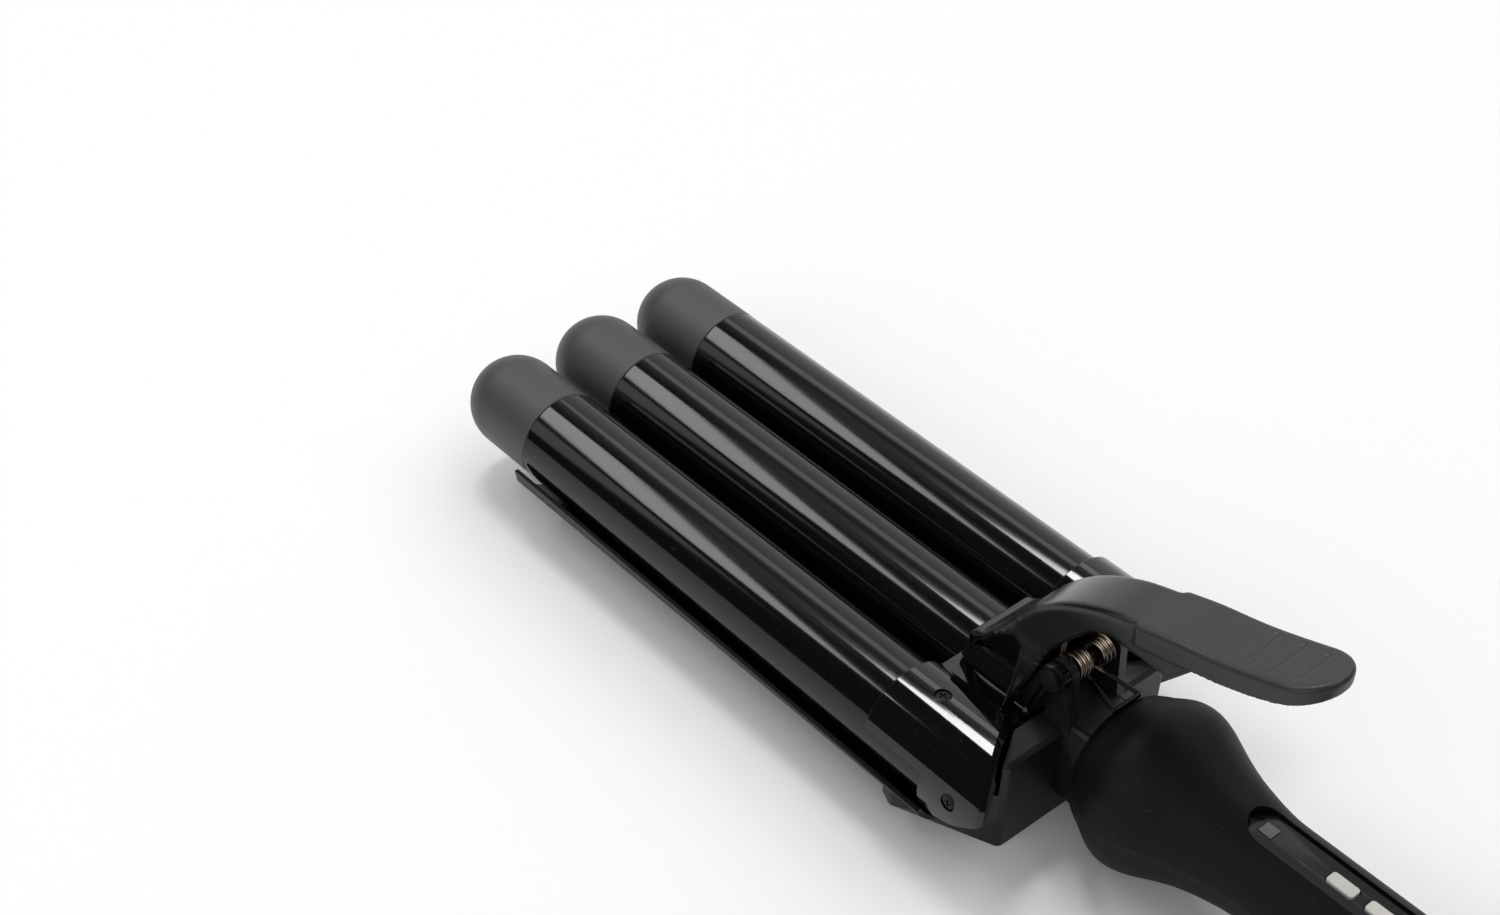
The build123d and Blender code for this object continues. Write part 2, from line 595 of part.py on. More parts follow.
# ---- handle shells -----------------------------------------------------------------------------
FRONT_SCREW_BACK = 194.0
REAR_SCREW_BACK = (PANEL_FRONT + PANEL_LENGTH + HANDLE_REAR) / 2
HANDLE_SCREWS = [(FRONT_SCREW_BACK, 14.2), (REAR_SCREW_BACK, 11.2)]     # back, boss reach
HANDLE_SCREW_R = 1.25
HANDLE_SCREW_HEAD_R = 2.4
BOSS_R = 3.4
HANDLE_SCREW_SEAT = 8.0
HANDLE_SCREW_HEAD_T = 1.8
HANDLE_SCREW_UP = 6.0
LEDGE_UP = PANEL_UP - PANEL_T
PANEL_BACK = PANEL_FRONT + PANEL_LENGTH / 2
INNER_PROFILE = [(HANDLE_FRONT + FRONT_WALL, FRONT_CAVITY_R)]
INNER_PROFILE += [(back, radius - HANDLE_WALL) for back, radius in HANDLE_PROFILE[2:]]


def lathe(points):
    """The (back, height) points of a profile turned about the handle's axis."""
    return [(back, HANDLE_AXIS + radius) for back, radius in points]


def handle_tube():
    """The hollow turned handle, both halves in one, as a private part."""
    with BuildPart() as tube:
        with BuildSketch(SIDE):
            with BuildLine():
                outer = lathe(HANDLE_PROFILE)
                Spline(*outer, tangents=[(0.35, 1), (1, 0)], tangent_scalars=[0.6, 1])
                Polyline(outer[-1], (HANDLE_REAR, HANDLE_AXIS + HANDLE_R),
                         (HANDLE_REAR, HANDLE_AXIS), (HANDLE_FRONT, HANDLE_AXIS),
                         (HANDLE_FRONT, outer[0][1] - OVERCUT), outer[0])
            make_face()
        revolve(axis=x_axis(0, HANDLE_AXIS))
        with BuildSketch(SIDE):
            with BuildLine():
                inner = lathe(INNER_PROFILE)
                Polyline(*inner, (HANDLE_REAR + OVERCUT, inner[-1][1]),
                         (HANDLE_REAR + OVERCUT, HANDLE_AXIS),
                         (inner[0][0], HANDLE_AXIS), inner[0])
            make_face()
        revolve(axis=x_axis(0, HANDLE_AXIS), mode=Mode.SUBTRACT)
        with BuildSketch(station(HANDLE_FRONT)):
            with Locations((0, HANDLE_AXIS)):
                Circle(SPIGOT_R + FIT)
        extrude(amount=-FRONT_WALL, mode=Mode.SUBTRACT)
    return tube.part


def screw_circles(radius):
    """Circles at the handle screws on the current plan plane."""
    with Locations(*[(back, 0) for back, reach in HANDLE_SCREWS]):
        Circle(radius)


PARTING = Plane(origin=(0, 0, AXIS_Z + HANDLE_AXIS), x_dir=(1, 0, 0), z_dir=(0, 0, 1))
TUBE = handle_tube()

with BuildPart() as handle_shell_upper:
    add(TUBE)
    split(bisect_by=PARTING, keep=Keep.TOP)
    for boss_back, boss_reach in HANDLE_SCREWS:
        with BuildSketch(level(HANDLE_AXIS)):
            with Locations((boss_back, 0)):
                Circle(BOSS_R)
        extrude(amount=-boss_reach)
    with BuildSketch(level(HANDLE_AXIS)):
        screw_circles(HANDLE_SCREW_R + FIT)
    extrude(amount=-HANDLE_SCREW_UP - OVERCUT, mode=Mode.SUBTRACT)
    with BuildSketch(level(LEDGE_UP)):
        with Locations((PANEL_BACK, 0)):
            SlotOverall(PANEL_LENGTH, PANEL_WIDTH)
    extrude(amount=-HANDLE_R, mode=Mode.SUBTRACT)
save(handle_shell_upper.part, "handle_shell_upper")

with BuildPart() as handle_shell_lower:
    add(TUBE)
    split(bisect_by=PARTING, keep=Keep.BOTTOM)
    for boss_back, boss_reach in HANDLE_SCREWS:
        with BuildSketch(level(HANDLE_AXIS)):
            with Locations((boss_back, 0)):
                Circle(BOSS_R)
        extrude(amount=boss_reach)
    with BuildSketch(level(HANDLE_AXIS)):
        screw_circles(HANDLE_SCREW_R + FIT)
    extrude(amount=BULGE_R, mode=Mode.SUBTRACT)
    with BuildSketch(level(HANDLE_AXIS - HANDLE_SCREW_SEAT)):
        screw_circles(HANDLE_SCREW_HEAD_R + HEAD_HOLE_GAP)
    extrude(amount=BULGE_R, mode=Mode.SUBTRACT)
save(handle_shell_lower.part, "handle_shell_lower")

with BuildPart() as handle_screws:
    with BuildSketch(level(HANDLE_AXIS - HANDLE_SCREW_SEAT)):
        screw_circles(HANDLE_SCREW_HEAD_R)
    extrude(amount=HANDLE_SCREW_HEAD_T)
    with BuildSketch(level(HANDLE_AXIS - HANDLE_SCREW_SEAT)):
        screw_circles(HANDLE_SCREW_R)
    extrude(amount=-(HANDLE_SCREW_SEAT + HANDLE_SCREW_UP))
save(handle_screws.part, "handle_screws")

# ---- control panel, keys and electronics -------------------------------------------------------
KEY_GAP = 0.3
KEY_FLANGE = 0.6
KEY_FLANGE_T = 0.6
WINDOW_PROUD = 0.2
FLANGE_TOP = LEDGE_UP - KEY_GAP
SWITCH_TOP = BOARD_UP + SWITCH_H
STEM_END = SWITCH_TOP + KEY_TRAVEL + FIT
BOARD_LENGTH = 62.0
BOARD_W = 16.8
KEY_PLACES = [(back, 0) for back in KEY_BACK]

with BuildPart() as control_panel:
    with BuildSketch(level(LEDGE_UP)):
        with Locations((PANEL_BACK, 0)):
            SlotOverall(PANEL_LENGTH - 2 * FIT, PANEL_WIDTH - 2 * FIT)
        with Locations(*KEY_PLACES):
            RectangleRounded(KEY_LENGTH + 2 * KEY_GAP, KEY_WIDTH + 2 * KEY_GAP,
                             KEY_WIDTH / 4 + KEY_GAP, mode=Mode.SUBTRACT)
        with Locations((INDICATOR_BACK, 0)):
            Rectangle(INDICATOR_SIZE + 2 * FIT, INDICATOR_SIZE + 2 * FIT, mode=Mode.SUBTRACT)
    extrude(amount=-PANEL_T)
save(control_panel.part, "control_panel")

with BuildPart() as indicator_window:
    with BuildSketch(level(LEDGE_UP)):
        with Locations((INDICATOR_BACK, 0)):
            Rectangle(INDICATOR_SIZE, INDICATOR_SIZE)
    extrude(amount=-(PANEL_T + WINDOW_PROUD))
save(indicator_window.part, "indicator_window")

for back, key_name in zip(KEY_BACK, KEY_NAMES):
    with BuildPart() as key:
        with BuildSketch(level(FLANGE_TOP)):
            with Locations((back, 0)):
                RectangleRounded(KEY_LENGTH, KEY_WIDTH, KEY_WIDTH / 4)
        extrude(amount=-(KEY_GAP + PANEL_T + KEY_PROUD))
        with BuildSketch(level(FLANGE_TOP)):
            with Locations((back, 0)):
                RectangleRounded(KEY_LENGTH + 2 * KEY_FLANGE, KEY_WIDTH + 2 * KEY_FLANGE,
                                 KEY_WIDTH / 4)
        extrude(amount=KEY_FLANGE_T)
        with BuildSketch(level(FLANGE_TOP - KEY_FLANGE_T)):
            with Locations((back, 0)):
                Rectangle(KEY_STEM_W, KEY_STEM_W)
        extrude(amount=FLANGE_TOP - KEY_FLANGE_T - STEM_END)
    save(key.part, key_name)

with BuildPart() as circuit_board:
    with BuildSketch(level(BOARD_UP)):
        with Locations((PANEL_BACK, 0)):
            Rectangle(BOARD_LENGTH, BOARD_W)
    extrude(amount=BOARD_T)
save(circuit_board.part, "circuit_board")

with BuildPart() as key_switches:
    with BuildSketch(level(BOARD_UP)):
        with Locations(*KEY_PLACES):
            Rectangle(SWITCH_SIZE, SWITCH_SIZE)
    extrude(amount=-SWITCH_H)
save(key_switches.part, "key_switches")

# ---- rear end: end cap and swivel gland --------------------------------------------------------
CAP_SPIGOT_LENGTH = 6.0
GLAND_FLANGE_R = 7.0
GLAND_FLANGE_T = 3.0
GLAND_NECK_R = 5.0
GLAND_END_R = 5.8
GLAND_TAPER = 3.0
CAP_EDGE = 1.0
POCKET_R = GLAND_FLANGE_R + CLEAR
CAP_FIT_OUT = HANDLE_R - HANDLE_WALL - FIT
POCKET_DEPTH = 2.1
CAP_INNER_FACE = HANDLE_REAR - POCKET_DEPTH

with BuildPart() as end_cap:
    with BuildSketch(SIDE):
        Polygon(*lathe([(HANDLE_REAR - CAP_SPIGOT_LENGTH, POCKET_R),
                        (HANDLE_REAR - CAP_SPIGOT_LENGTH, CAP_FIT_OUT),
                        (HANDLE_REAR, CAP_FIT_OUT), (HANDLE_REAR, HANDLE_R),
                        (END_CAP_REAR - CAP_EDGE, HANDLE_R), (END_CAP_REAR, HANDLE_R - CAP_EDGE),
                        (END_CAP_REAR, GLAND_NECK_R + FIT),
                        (CAP_INNER_FACE, GLAND_NECK_R + FIT), (CAP_INNER_FACE, POCKET_R)]),
                align=None)
    revolve(axis=x_axis(0, HANDLE_AXIS))
save(end_cap.part, "end_cap")

GLAND_SHOULDER = END_CAP_REAR + CLEAR
GLAND_SEAT = CAP_INNER_FACE - CLEAR
with BuildPart() as swivel_gland:
    with BuildSketch(SIDE):
        Polygon(*lathe([(GLAND_SEAT - GLAND_FLANGE_T, CORD_R),
                        (GLAND_SEAT - GLAND_FLANGE_T, GLAND_FLANGE_R),
                        (GLAND_SEAT, GLAND_FLANGE_R), (GLAND_SEAT, GLAND_NECK_R),
                        (GLAND_SHOULDER, GLAND_NECK_R), (GLAND_SHOULDER, GLAND_R),
                        (GLAND_END - GLAND_TAPER, GLAND_R - CAP_EDGE), (GLAND_END, GLAND_END_R),
                        (GLAND_END, CORD_R)]), align=None)
    revolve(axis=x_axis(0, HANDLE_AXIS))
save(swivel_gland.part, "swivel_gland")
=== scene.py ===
"""Looks of a three-barrel hair waver, built in metres round its fixed CAD frame.

Every group of pieces has its own operator. main() runs them in order.
+X points from the handle to the barrel tips, +Y to the left, +Z up.
"""

import json
import math

import bmesh
import bpy
from mathutils import Matrix, Vector

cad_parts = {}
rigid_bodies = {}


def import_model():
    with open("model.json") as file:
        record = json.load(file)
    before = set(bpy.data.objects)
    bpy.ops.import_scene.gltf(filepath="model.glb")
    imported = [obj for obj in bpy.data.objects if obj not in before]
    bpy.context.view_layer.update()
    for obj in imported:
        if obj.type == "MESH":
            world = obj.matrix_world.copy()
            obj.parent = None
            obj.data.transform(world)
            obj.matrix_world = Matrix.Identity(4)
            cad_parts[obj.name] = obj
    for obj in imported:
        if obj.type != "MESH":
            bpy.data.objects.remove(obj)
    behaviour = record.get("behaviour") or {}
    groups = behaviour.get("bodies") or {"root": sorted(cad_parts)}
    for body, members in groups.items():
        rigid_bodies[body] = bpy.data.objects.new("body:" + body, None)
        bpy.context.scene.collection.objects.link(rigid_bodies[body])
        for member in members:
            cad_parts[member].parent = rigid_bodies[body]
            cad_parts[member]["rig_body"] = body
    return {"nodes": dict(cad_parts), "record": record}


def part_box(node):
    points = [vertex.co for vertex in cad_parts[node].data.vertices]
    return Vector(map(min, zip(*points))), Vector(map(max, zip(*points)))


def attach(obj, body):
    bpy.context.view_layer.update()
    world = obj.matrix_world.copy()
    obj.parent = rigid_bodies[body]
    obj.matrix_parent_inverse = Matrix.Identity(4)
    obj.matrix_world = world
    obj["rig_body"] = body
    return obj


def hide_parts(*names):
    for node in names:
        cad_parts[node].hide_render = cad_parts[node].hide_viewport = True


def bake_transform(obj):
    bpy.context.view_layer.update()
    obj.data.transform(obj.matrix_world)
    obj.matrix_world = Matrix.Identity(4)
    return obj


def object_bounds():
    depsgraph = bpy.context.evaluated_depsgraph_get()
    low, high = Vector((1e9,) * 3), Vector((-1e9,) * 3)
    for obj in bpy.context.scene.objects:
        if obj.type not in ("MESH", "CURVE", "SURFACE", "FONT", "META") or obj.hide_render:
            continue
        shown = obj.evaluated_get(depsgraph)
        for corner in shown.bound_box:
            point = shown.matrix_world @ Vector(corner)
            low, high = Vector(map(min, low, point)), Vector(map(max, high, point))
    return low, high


bl_info = {
    "name": "Hair waver looks",
    "version": (1, 0, 0),
    "blender": (4, 5, 0),
    "location": "View3D > Sidebar > Waver",
    "description": "Builds the pieces, materials and stage of a three-barrel hair waver",
    "category": "Object",
}

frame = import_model()
CAD_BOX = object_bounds()

# ---- places read from the frame ------------------------------------------------------------
MM = 0.001
TUBE_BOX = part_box("barrel_middle")
HEAD_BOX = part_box("barrel_head")
CAP_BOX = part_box("cap_middle")
AXIS_Z = (TUBE_BOX[0].z + TUBE_BOX[1].z) / 2
SEAM_X = TUBE_BOX[1].x
TUBE_R = (TUBE_BOX[1].y - TUBE_BOX[0].y) / 2
TUBE_WALL = 1.0 * MM
CAP_WALL = 2.0 * MM
CAP_FIT = 0.05 * MM                                # between a cap's spigot and its tube
PITCH = (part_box("barrel_left")[0].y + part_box("barrel_left")[1].y) / 2
BARREL_YS = {"left": PITCH, "middle": 0.0, "right": -PITCH}
PIN_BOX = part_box("hinge_pin")
HINGE = Vector(((PIN_BOX[0].x + PIN_BOX[1].x) / 2, 0, (PIN_BOX[0].z + PIN_BOX[1].z) / 2))
# the plate's rims: their height at two places back from the cap seam, the points that belong
# to them, and the radius that parts the outer wall from the inner one
RIM_UP = {0.0: -4.4 * MM, 60.0 * MM: -3.4 * MM}
RIM_FROM_Z = -6.9 * MM                             # from the tubes' axes
RIM_FROM_Y = PITCH + 7.35 * MM
RIM_REAR_X = HEAD_BOX[1].x + 1.0 * MM              # behind it the rims stay as they are
PLATE_MIDDLE_R = 15.3 * MM
PLATE_WALL = 1.1 * MM
# the lever: back from the cap seam and half length of each groove across its paddle
GROOVES = ((196.5 * MM, 6.0 * MM), (203.2 * MM, 5.6 * MM), (209.4 * MM, 4.8 * MM))
GROOVE_WIDTH = 1.1 * MM
GROOVE_BEND = 9.0
GROOVE_DEPTH = 0.45 * MM
GROOVES_FROM = 191.0 * MM                          # ahead of it no point is pressed
FACES_UP = 0.6                                     # least upward normal of a pressed point
LEVER_PASSES = 8
PADDLE_BACK, ARCH_BACK = 172.0 * MM, 166.0 * MM    # the matte paddle turns into the gloss arch
ARCH_COLOUR, ARCH_ROUGHNESS = 0.35, 0.5            # shares of the paddle's
# the spring: one run of wire from a leg round a coil to the loop and back, placed from the pin
WIRE_R = 0.6 * MM
COIL_R = 2.9 * MM
COIL_FROM, COIL_TO = 272.2, 1441.3                 # degrees round the pin from loop to leg
COIL_STEP = 12.0                                   # degrees
COIL_IN, COIL_OUT = 1.4 * MM, 5.79 * MM            # the coil's ends from the middle
LEG_END = Vector((2.6, 5.79, 13.5)) * MM
LOOP_END = Vector((-12.4, 4.2, -4.6)) * MM
LOOP_ROUND = 0.9 * MM
WIRE_EASE = 0.1                                    # share of a straight run near the coil
LOOP_PAINTED_SHADE = 0.04                                  # painted shade: the share of the wire's colour left on the loop, darkened as if it lay in shadow under the lever
PAINTED_SHADE_FROM, PAINTED_SHADE_TO = 0.5 * COIL_R, 1.4 * COIL_R  # painted shade: the darkening starts and ends this far behind the pin
# the screws, in millimetres: each head's seat and outward direction, then the head's radius and
# height, and the shank's radius and length
SCREW_ROW = 28.1                                   # the outer seats from the middle
SCREWS = {
    "head_screws": (
        [((17.1, side * SCREW_ROW, 34.6), (0, 0, 1)) for side in (1, -1)]
        + [((0.5, side * 41.2, 24.0), (0, side, 0)) for side in (1, -1)],
        (1.9, 0.7, 1.1, 1.5)),
    "plate_screws": (
        [((15.5, side * SCREW_ROW, 2.0), (0, 0, -1)) for side in (-1, 0, 1)],
        (2.5, 1.6, 1.25, 4.2)),
    "handle_screws": (
        [((x, 0, 13.2), (0, 0, -1)) for x in (-38.5, -144.5)], (2.4, 1.8, 1.25, 14.0)),
}
SCREW_SIDES = 40
SCREW_RIM = 0.6                                    # share of the head's height
DOME_FROM, DOME_HIGH = 0.58, 0.42                  # shares of the head's height
CROSS_LONG, CROSS_WIDE = 1.15, 0.26                # shares of the head's radius

# ---- fineness of the meshes ----------------------------------------------------------------
DOUBLES = 0.002 * MM
FLAT_ANGLE = 0.5          # degrees between faces that count as one
SHARP_ANGLE = 32.0        # degrees at an edge that is rounded
ALL_SMOOTH = 180.0        # degrees that leave no edge sharp
WIRE_SHARP = 60.0         # degrees that keep only the wire's ends sharp
ROUND_STEPS = 3           # faces across a rounded edge
RIM_STEPS = 4             # faces across a tube's rounded rim
TURNED_SIDES = 160
ON_AXIS = 1e-7            # a radius below it is a point
DOME_STEPS, BORE_STEPS = 32, 16

# ---- surfaces ------------------------------------------------------------------------------
SPECK_SCALE, SPECK_LEVEL = 900.0, 0.735
WORN_FROM, WORN_TO = 0.52, 0.62                    # pointiness of a worn edge
DUST_COLOUR = (0.5, 0.5, 0.5, 1)
PATCH_HEIGHT = 2.0                                 # of the patches against the grain
BUMP_SIZE = 0.05 * MM
FLOOR_ROUGHNESS, FLOOR_SPECULAR = 0.6, 0.2

# ---- camera and light ----------------------------------------------------------------------
CAMERA_TARGET = Vector((118.7, -4.4, 21.5)) * MM
CAMERA_DISTANCE = 616.8 * MM
CAMERA_SIDE = 42.79       # degrees that the view turns from the waver's own direction
CAMERA_DOWN = 39.56       # degrees that the view looks down
CAMERA_ROLL = -2.54       # degrees that the view is tipped over
CAMERA_LENS = 57.7
CAMERA_SENSOR = 36.0
LIGHT_CENTRE = Vector((0.05, 0.0, 0.02))
WALL_SIDE = Vector((0.695, -0.719, 0.0))    # direction of the studio's bright wall
WALL_LIGHT, ROOM_LIGHT = 0.8, 0.06
WALL_FROM, WALL_TO = 0.45, 0.85              # cosines from that direction, room to wall
# name, azimuth and elevation in degrees, distance, width, height, radiance, tilt in degrees
LAMPS = (
    ("overhead", -21, 65.0, 3.0, 0.8, 0.42, 20.0, 8),
    ("streak", 22, 47.8, 3.0, 1.7, 0.56, 6.5, -8),
    ("ceiling", -5, 57, 3.0, 1.2, 0.4, 0.4, 0),
    ("front low", 41, 25, 3.0, 0.8, 1.0, 1.3, 0),
    ("right band", -48, 42, 3.0, 1.3, 0.5, 1.3, 0),
    ("right sky", -105, 58, 2.0, 2.4, 1.8, 1.27, 0),
    ("left sky", 150, 50, 2.0, 2.0, 1.6, 0.6, 0),
    ("left fill", 96, 28, 2.0, 1.6, 1.1, 1.85, 0),
)


class WaverSizes(bpy.types.PropertyGroup):
    """Sizes of the finish that a user may change."""

    tube_edge: bpy.props.FloatProperty(
        name="Tube edge", description="Radius on the barrels' rims", default=0.15 * MM,
        min=0.0, unit="LENGTH")
    seam: bpy.props.FloatProperty(
        name="Cap seam", description="Chamfer of the cap where it meets the tube",
        default=0.3 * MM, min=0.0, unit="LENGTH")
    moulded_edge: bpy.props.FloatProperty(
        name="Moulded edge", description="Radius on the edges of moulded plastic",
        default=0.3 * MM, min=0.0, unit="LENGTH")
    voxel: bpy.props.FloatProperty(
        name="Voxel", description="Mesh size of the pieces with softly rounded edges",
        default=0.45 * MM, min=0.2 * MM, unit="LENGTH")
    grain: bpy.props.FloatProperty(
        name="Plastic grain", description="Size of the grain on matte plastic",
        default=0.35 * MM, min=0.01 * MM, unit="LENGTH")
    smudge: bpy.props.FloatProperty(
        name="Smudge", description="Size of the soft patches on gloss", default=14 * MM,
        min=0.1 * MM, unit="LENGTH")
    floor: bpy.props.FloatProperty(
        name="Floor", description="Half width of the floor", default=1.6, min=1.0,
        unit="LENGTH")


def colour_property(label, about, value):
    """A colour property in scene linear values."""
    return bpy.props.FloatVectorProperty(
        name=label, description=about, subtype="COLOR", size=3, min=0.0, max=1.0, default=value)


class WaverColours(bpy.types.PropertyGroup):
    """Colours that a user may change."""

    coat: colour_property("Barrel coat", "Gloss ceramic coat", (0.002, 0.002, 0.002))
    cap: colour_property("Cap", "Matte cap plastic", (0.043, 0.043, 0.050))
    head: colour_property("Head", "Polished head plastic", (0.002, 0.002, 0.0022))
    lever: colour_property("Lever", "Matte lever plastic", (0.012, 0.012, 0.0125))
    housing: colour_property("Housing", "Lower housing plastic", (0.004, 0.004, 0.0045))
    handle: colour_property("Handle", "Soft handle plastic", (0.0016, 0.0016, 0.0018))
    panel: colour_property("Panel", "Gloss control panel", (0.004, 0.004, 0.005))
    key: colour_property("Keys", "Pearly keys", (0.55, 0.54, 0.50))
    window: colour_property("Window", "Indicator window", (0.035, 0.035, 0.04))
    wire: colour_property("Spring wire", "Plated spring wire", (0.50, 0.42, 0.32))
    steel: colour_property("Screws", "Blackened screws", (0.012, 0.012, 0.012))
    floor: colour_property("Floor", "Pale floor", (0.97, 0.97, 0.97))


# ---- materials -----------------------------------------------------------------------------
def group_socket(tree, label, kind, into=True, value=None):
    """A named socket on a node group."""
    socket = tree.interface.new_socket(
        name=label, in_out="INPUT" if into else "OUTPUT", socket_type=kind)
    if value is not None:
        socket.default_value = value
    return socket


def feed(tree, target, value):
    """Links a socket to the target, or sets a number on it."""
    if isinstance(value, bpy.types.NodeSocket):
        tree.links.new(value, target)
    else:
        target.default_value = value


def noise(tree, vector, scale, detail):
    """A noise texture on the coordinates given."""
    texture = tree.nodes.new("ShaderNodeTexNoise")
    for label, value in (("Vector", vector), ("Scale", scale), ("Detail", detail)):
        feed(tree, texture.inputs[label], value)
    return texture.outputs["Fac"]


def math_node(tree, operation, *values):
    """A math node on sockets or numbers."""
    node = tree.nodes.new("ShaderNodeMath")
    node.operation = operation
    for slot, value in enumerate(values):
        feed(tree, node.inputs[slot], value)
    return node.outputs[0]


def lerp(tree, factor, low, high):
    """low where the factor is 0, high where it is 1."""
    node = tree.nodes.new("ShaderNodeMapRange")
    for label, value in (("Value", factor), ("To Min", low), ("To Max", high)):
        feed(tree, node.inputs[label], value)
    return node.outputs["Result"]


def surface_group():
    """Colour, roughness and height of a used surface: grain, soft patches, dust, worn edges."""
    name = "used_surface"
    if name in bpy.data.node_groups:
        return bpy.data.node_groups[name]
    tree = bpy.data.node_groups.new(name, "ShaderNodeTree")
    group_socket(tree, "Base", "NodeSocketColor", value=(0.1, 0.1, 0.1, 1))
    for label, value in (("Roughness", 0.4), ("Uneven", 0.05), ("Patch Scale", 70.0),
                         ("Grain Scale", 2800.0), ("Mottle", 0.15), ("Dust", 0.1),
                         ("Wear", 0.1)):
        group_socket(tree, label, "NodeSocketFloat", value=value)
    for label, kind in (("Color", "NodeSocketColor"), ("Roughness", "NodeSocketFloat"),
                        ("Height", "NodeSocketFloat")):
        group_socket(tree, label, kind, into=False)
    nodes, links = tree.nodes, tree.links
    given = nodes.new("NodeGroupInput").outputs
    out = nodes.new("NodeGroupOutput")
    place = nodes.new("ShaderNodeTexCoord").outputs["Object"]
    geometry = nodes.new("ShaderNodeNewGeometry")
    patches = noise(tree, place, given["Patch Scale"], 4.0)
    grain = noise(tree, place, given["Grain Scale"], 2.0)
    specks = noise(tree, place, SPECK_SCALE, 1.0)
    dust = math_node(tree, "MULTIPLY", given["Dust"],
                     math_node(tree, "GREATER_THAN", specks, SPECK_LEVEL))
    edge = nodes.new("ShaderNodeMapRange")
    edge.inputs["From Min"].default_value = WORN_FROM
    edge.inputs["From Max"].default_value = WORN_TO
    links.new(geometry.outputs["Pointiness"], edge.inputs["Value"])
    wear = math_node(tree, "MULTIPLY", edge.outputs["Result"], given["Wear"])
    lighter = math_node(tree, "ADD", dust, wear)
    shade = lerp(tree, patches, math_node(tree, "SUBTRACT", 1.0, given["Mottle"]),
                 math_node(tree, "ADD", 1.0, given["Mottle"]))
    scaled = nodes.new("ShaderNodeVectorMath")
    scaled.operation = "SCALE"
    links.new(given["Base"], scaled.inputs[0])
    links.new(shade, scaled.inputs["Scale"])
    mixed = nodes.new("ShaderNodeMix")
    mixed.data_type = "RGBA"
    mixed.inputs["B"].default_value = DUST_COLOUR
    links.new(lighter, mixed.inputs["Factor"])
    links.new(scaled.outputs["Vector"], mixed.inputs["A"])
    links.new(mixed.outputs["Result"], out.inputs["Color"])
    uneven = lerp(tree, patches, math_node(tree, "MULTIPLY", given["Uneven"], -1.0),
                  given["Uneven"])
    rough = math_node(tree, "ADD", given["Roughness"], math_node(tree, "ADD", uneven, lighter))
    links.new(rough, out.inputs["Roughness"])
    raised = math_node(tree, "MULTIPLY", patches, PATCH_HEIGHT)
    links.new(math_node(tree, "ADD", grain, raised), out.inputs["Height"])
    return tree


def finish(name, colour, roughness, bump, metallic=0.0, coat=0.0, specular=0.5, **surface):
    """A Principled material with the used surface on it."""
    material = bpy.data.materials.get(name)
    if material:
        return material
    material = bpy.data.materials.new(name)
    material.use_nodes = True
    tree = material.node_tree
    shader = tree.nodes["Principled BSDF"]
    used = tree.nodes.new("ShaderNodeGroup")
    used.node_tree = surface_group()
    used.inputs["Base"].default_value = (*colour, 1)
    used.inputs["Roughness"].default_value = roughness
    for label, value in surface.items():
        used.inputs[label.replace("_", " ").title()].default_value = value
    tree.links.new(used.outputs["Color"], shader.inputs["Base Color"])
    tree.links.new(used.outputs["Roughness"], shader.inputs["Roughness"])
    relief = tree.nodes.new("ShaderNodeBump")
    relief.inputs["Strength"].default_value = bump
    relief.inputs["Distance"].default_value = BUMP_SIZE
    tree.links.new(used.outputs["Height"], relief.inputs["Height"])
    tree.links.new(relief.outputs["Normal"], shader.inputs["Normal"])
    shader.inputs["Metallic"].default_value = metallic
    shader.inputs["Coat Weight"].default_value = coat
    shader.inputs["Specular IOR Level"].default_value = specular
    return material


def fade(material, label, whole, faded, share):
    """Scales a shader input along X, from all of it at whole to a share of it at faded."""
    tree = material.node_tree
    shader = tree.nodes["Principled BSDF"]
    source = shader.inputs[label].links[0].from_socket
    split = tree.nodes.new("ShaderNodeSeparateXYZ")
    tree.links.new(tree.nodes.new("ShaderNodeTexCoord").outputs["Object"], split.inputs[0])
    ramp = tree.nodes.new("ShaderNodeMapRange")
    ramp.interpolation_type = "SMOOTHSTEP"
    tree.links.new(split.outputs["X"], ramp.inputs["Value"])
    for limit, value in (("From Min", faded), ("From Max", whole), ("To Min", share),
                         ("To Max", 1.0)):
        ramp.inputs[limit].default_value = value
    shaded = tree.nodes.new("ShaderNodeVectorMath")
    shaded.operation = "SCALE"
    tree.links.new(source, shaded.inputs[0])
    tree.links.new(ramp.outputs["Result"], shaded.inputs["Scale"])
    tree.links.new(shaded.outputs["Vector"], shader.inputs[label])


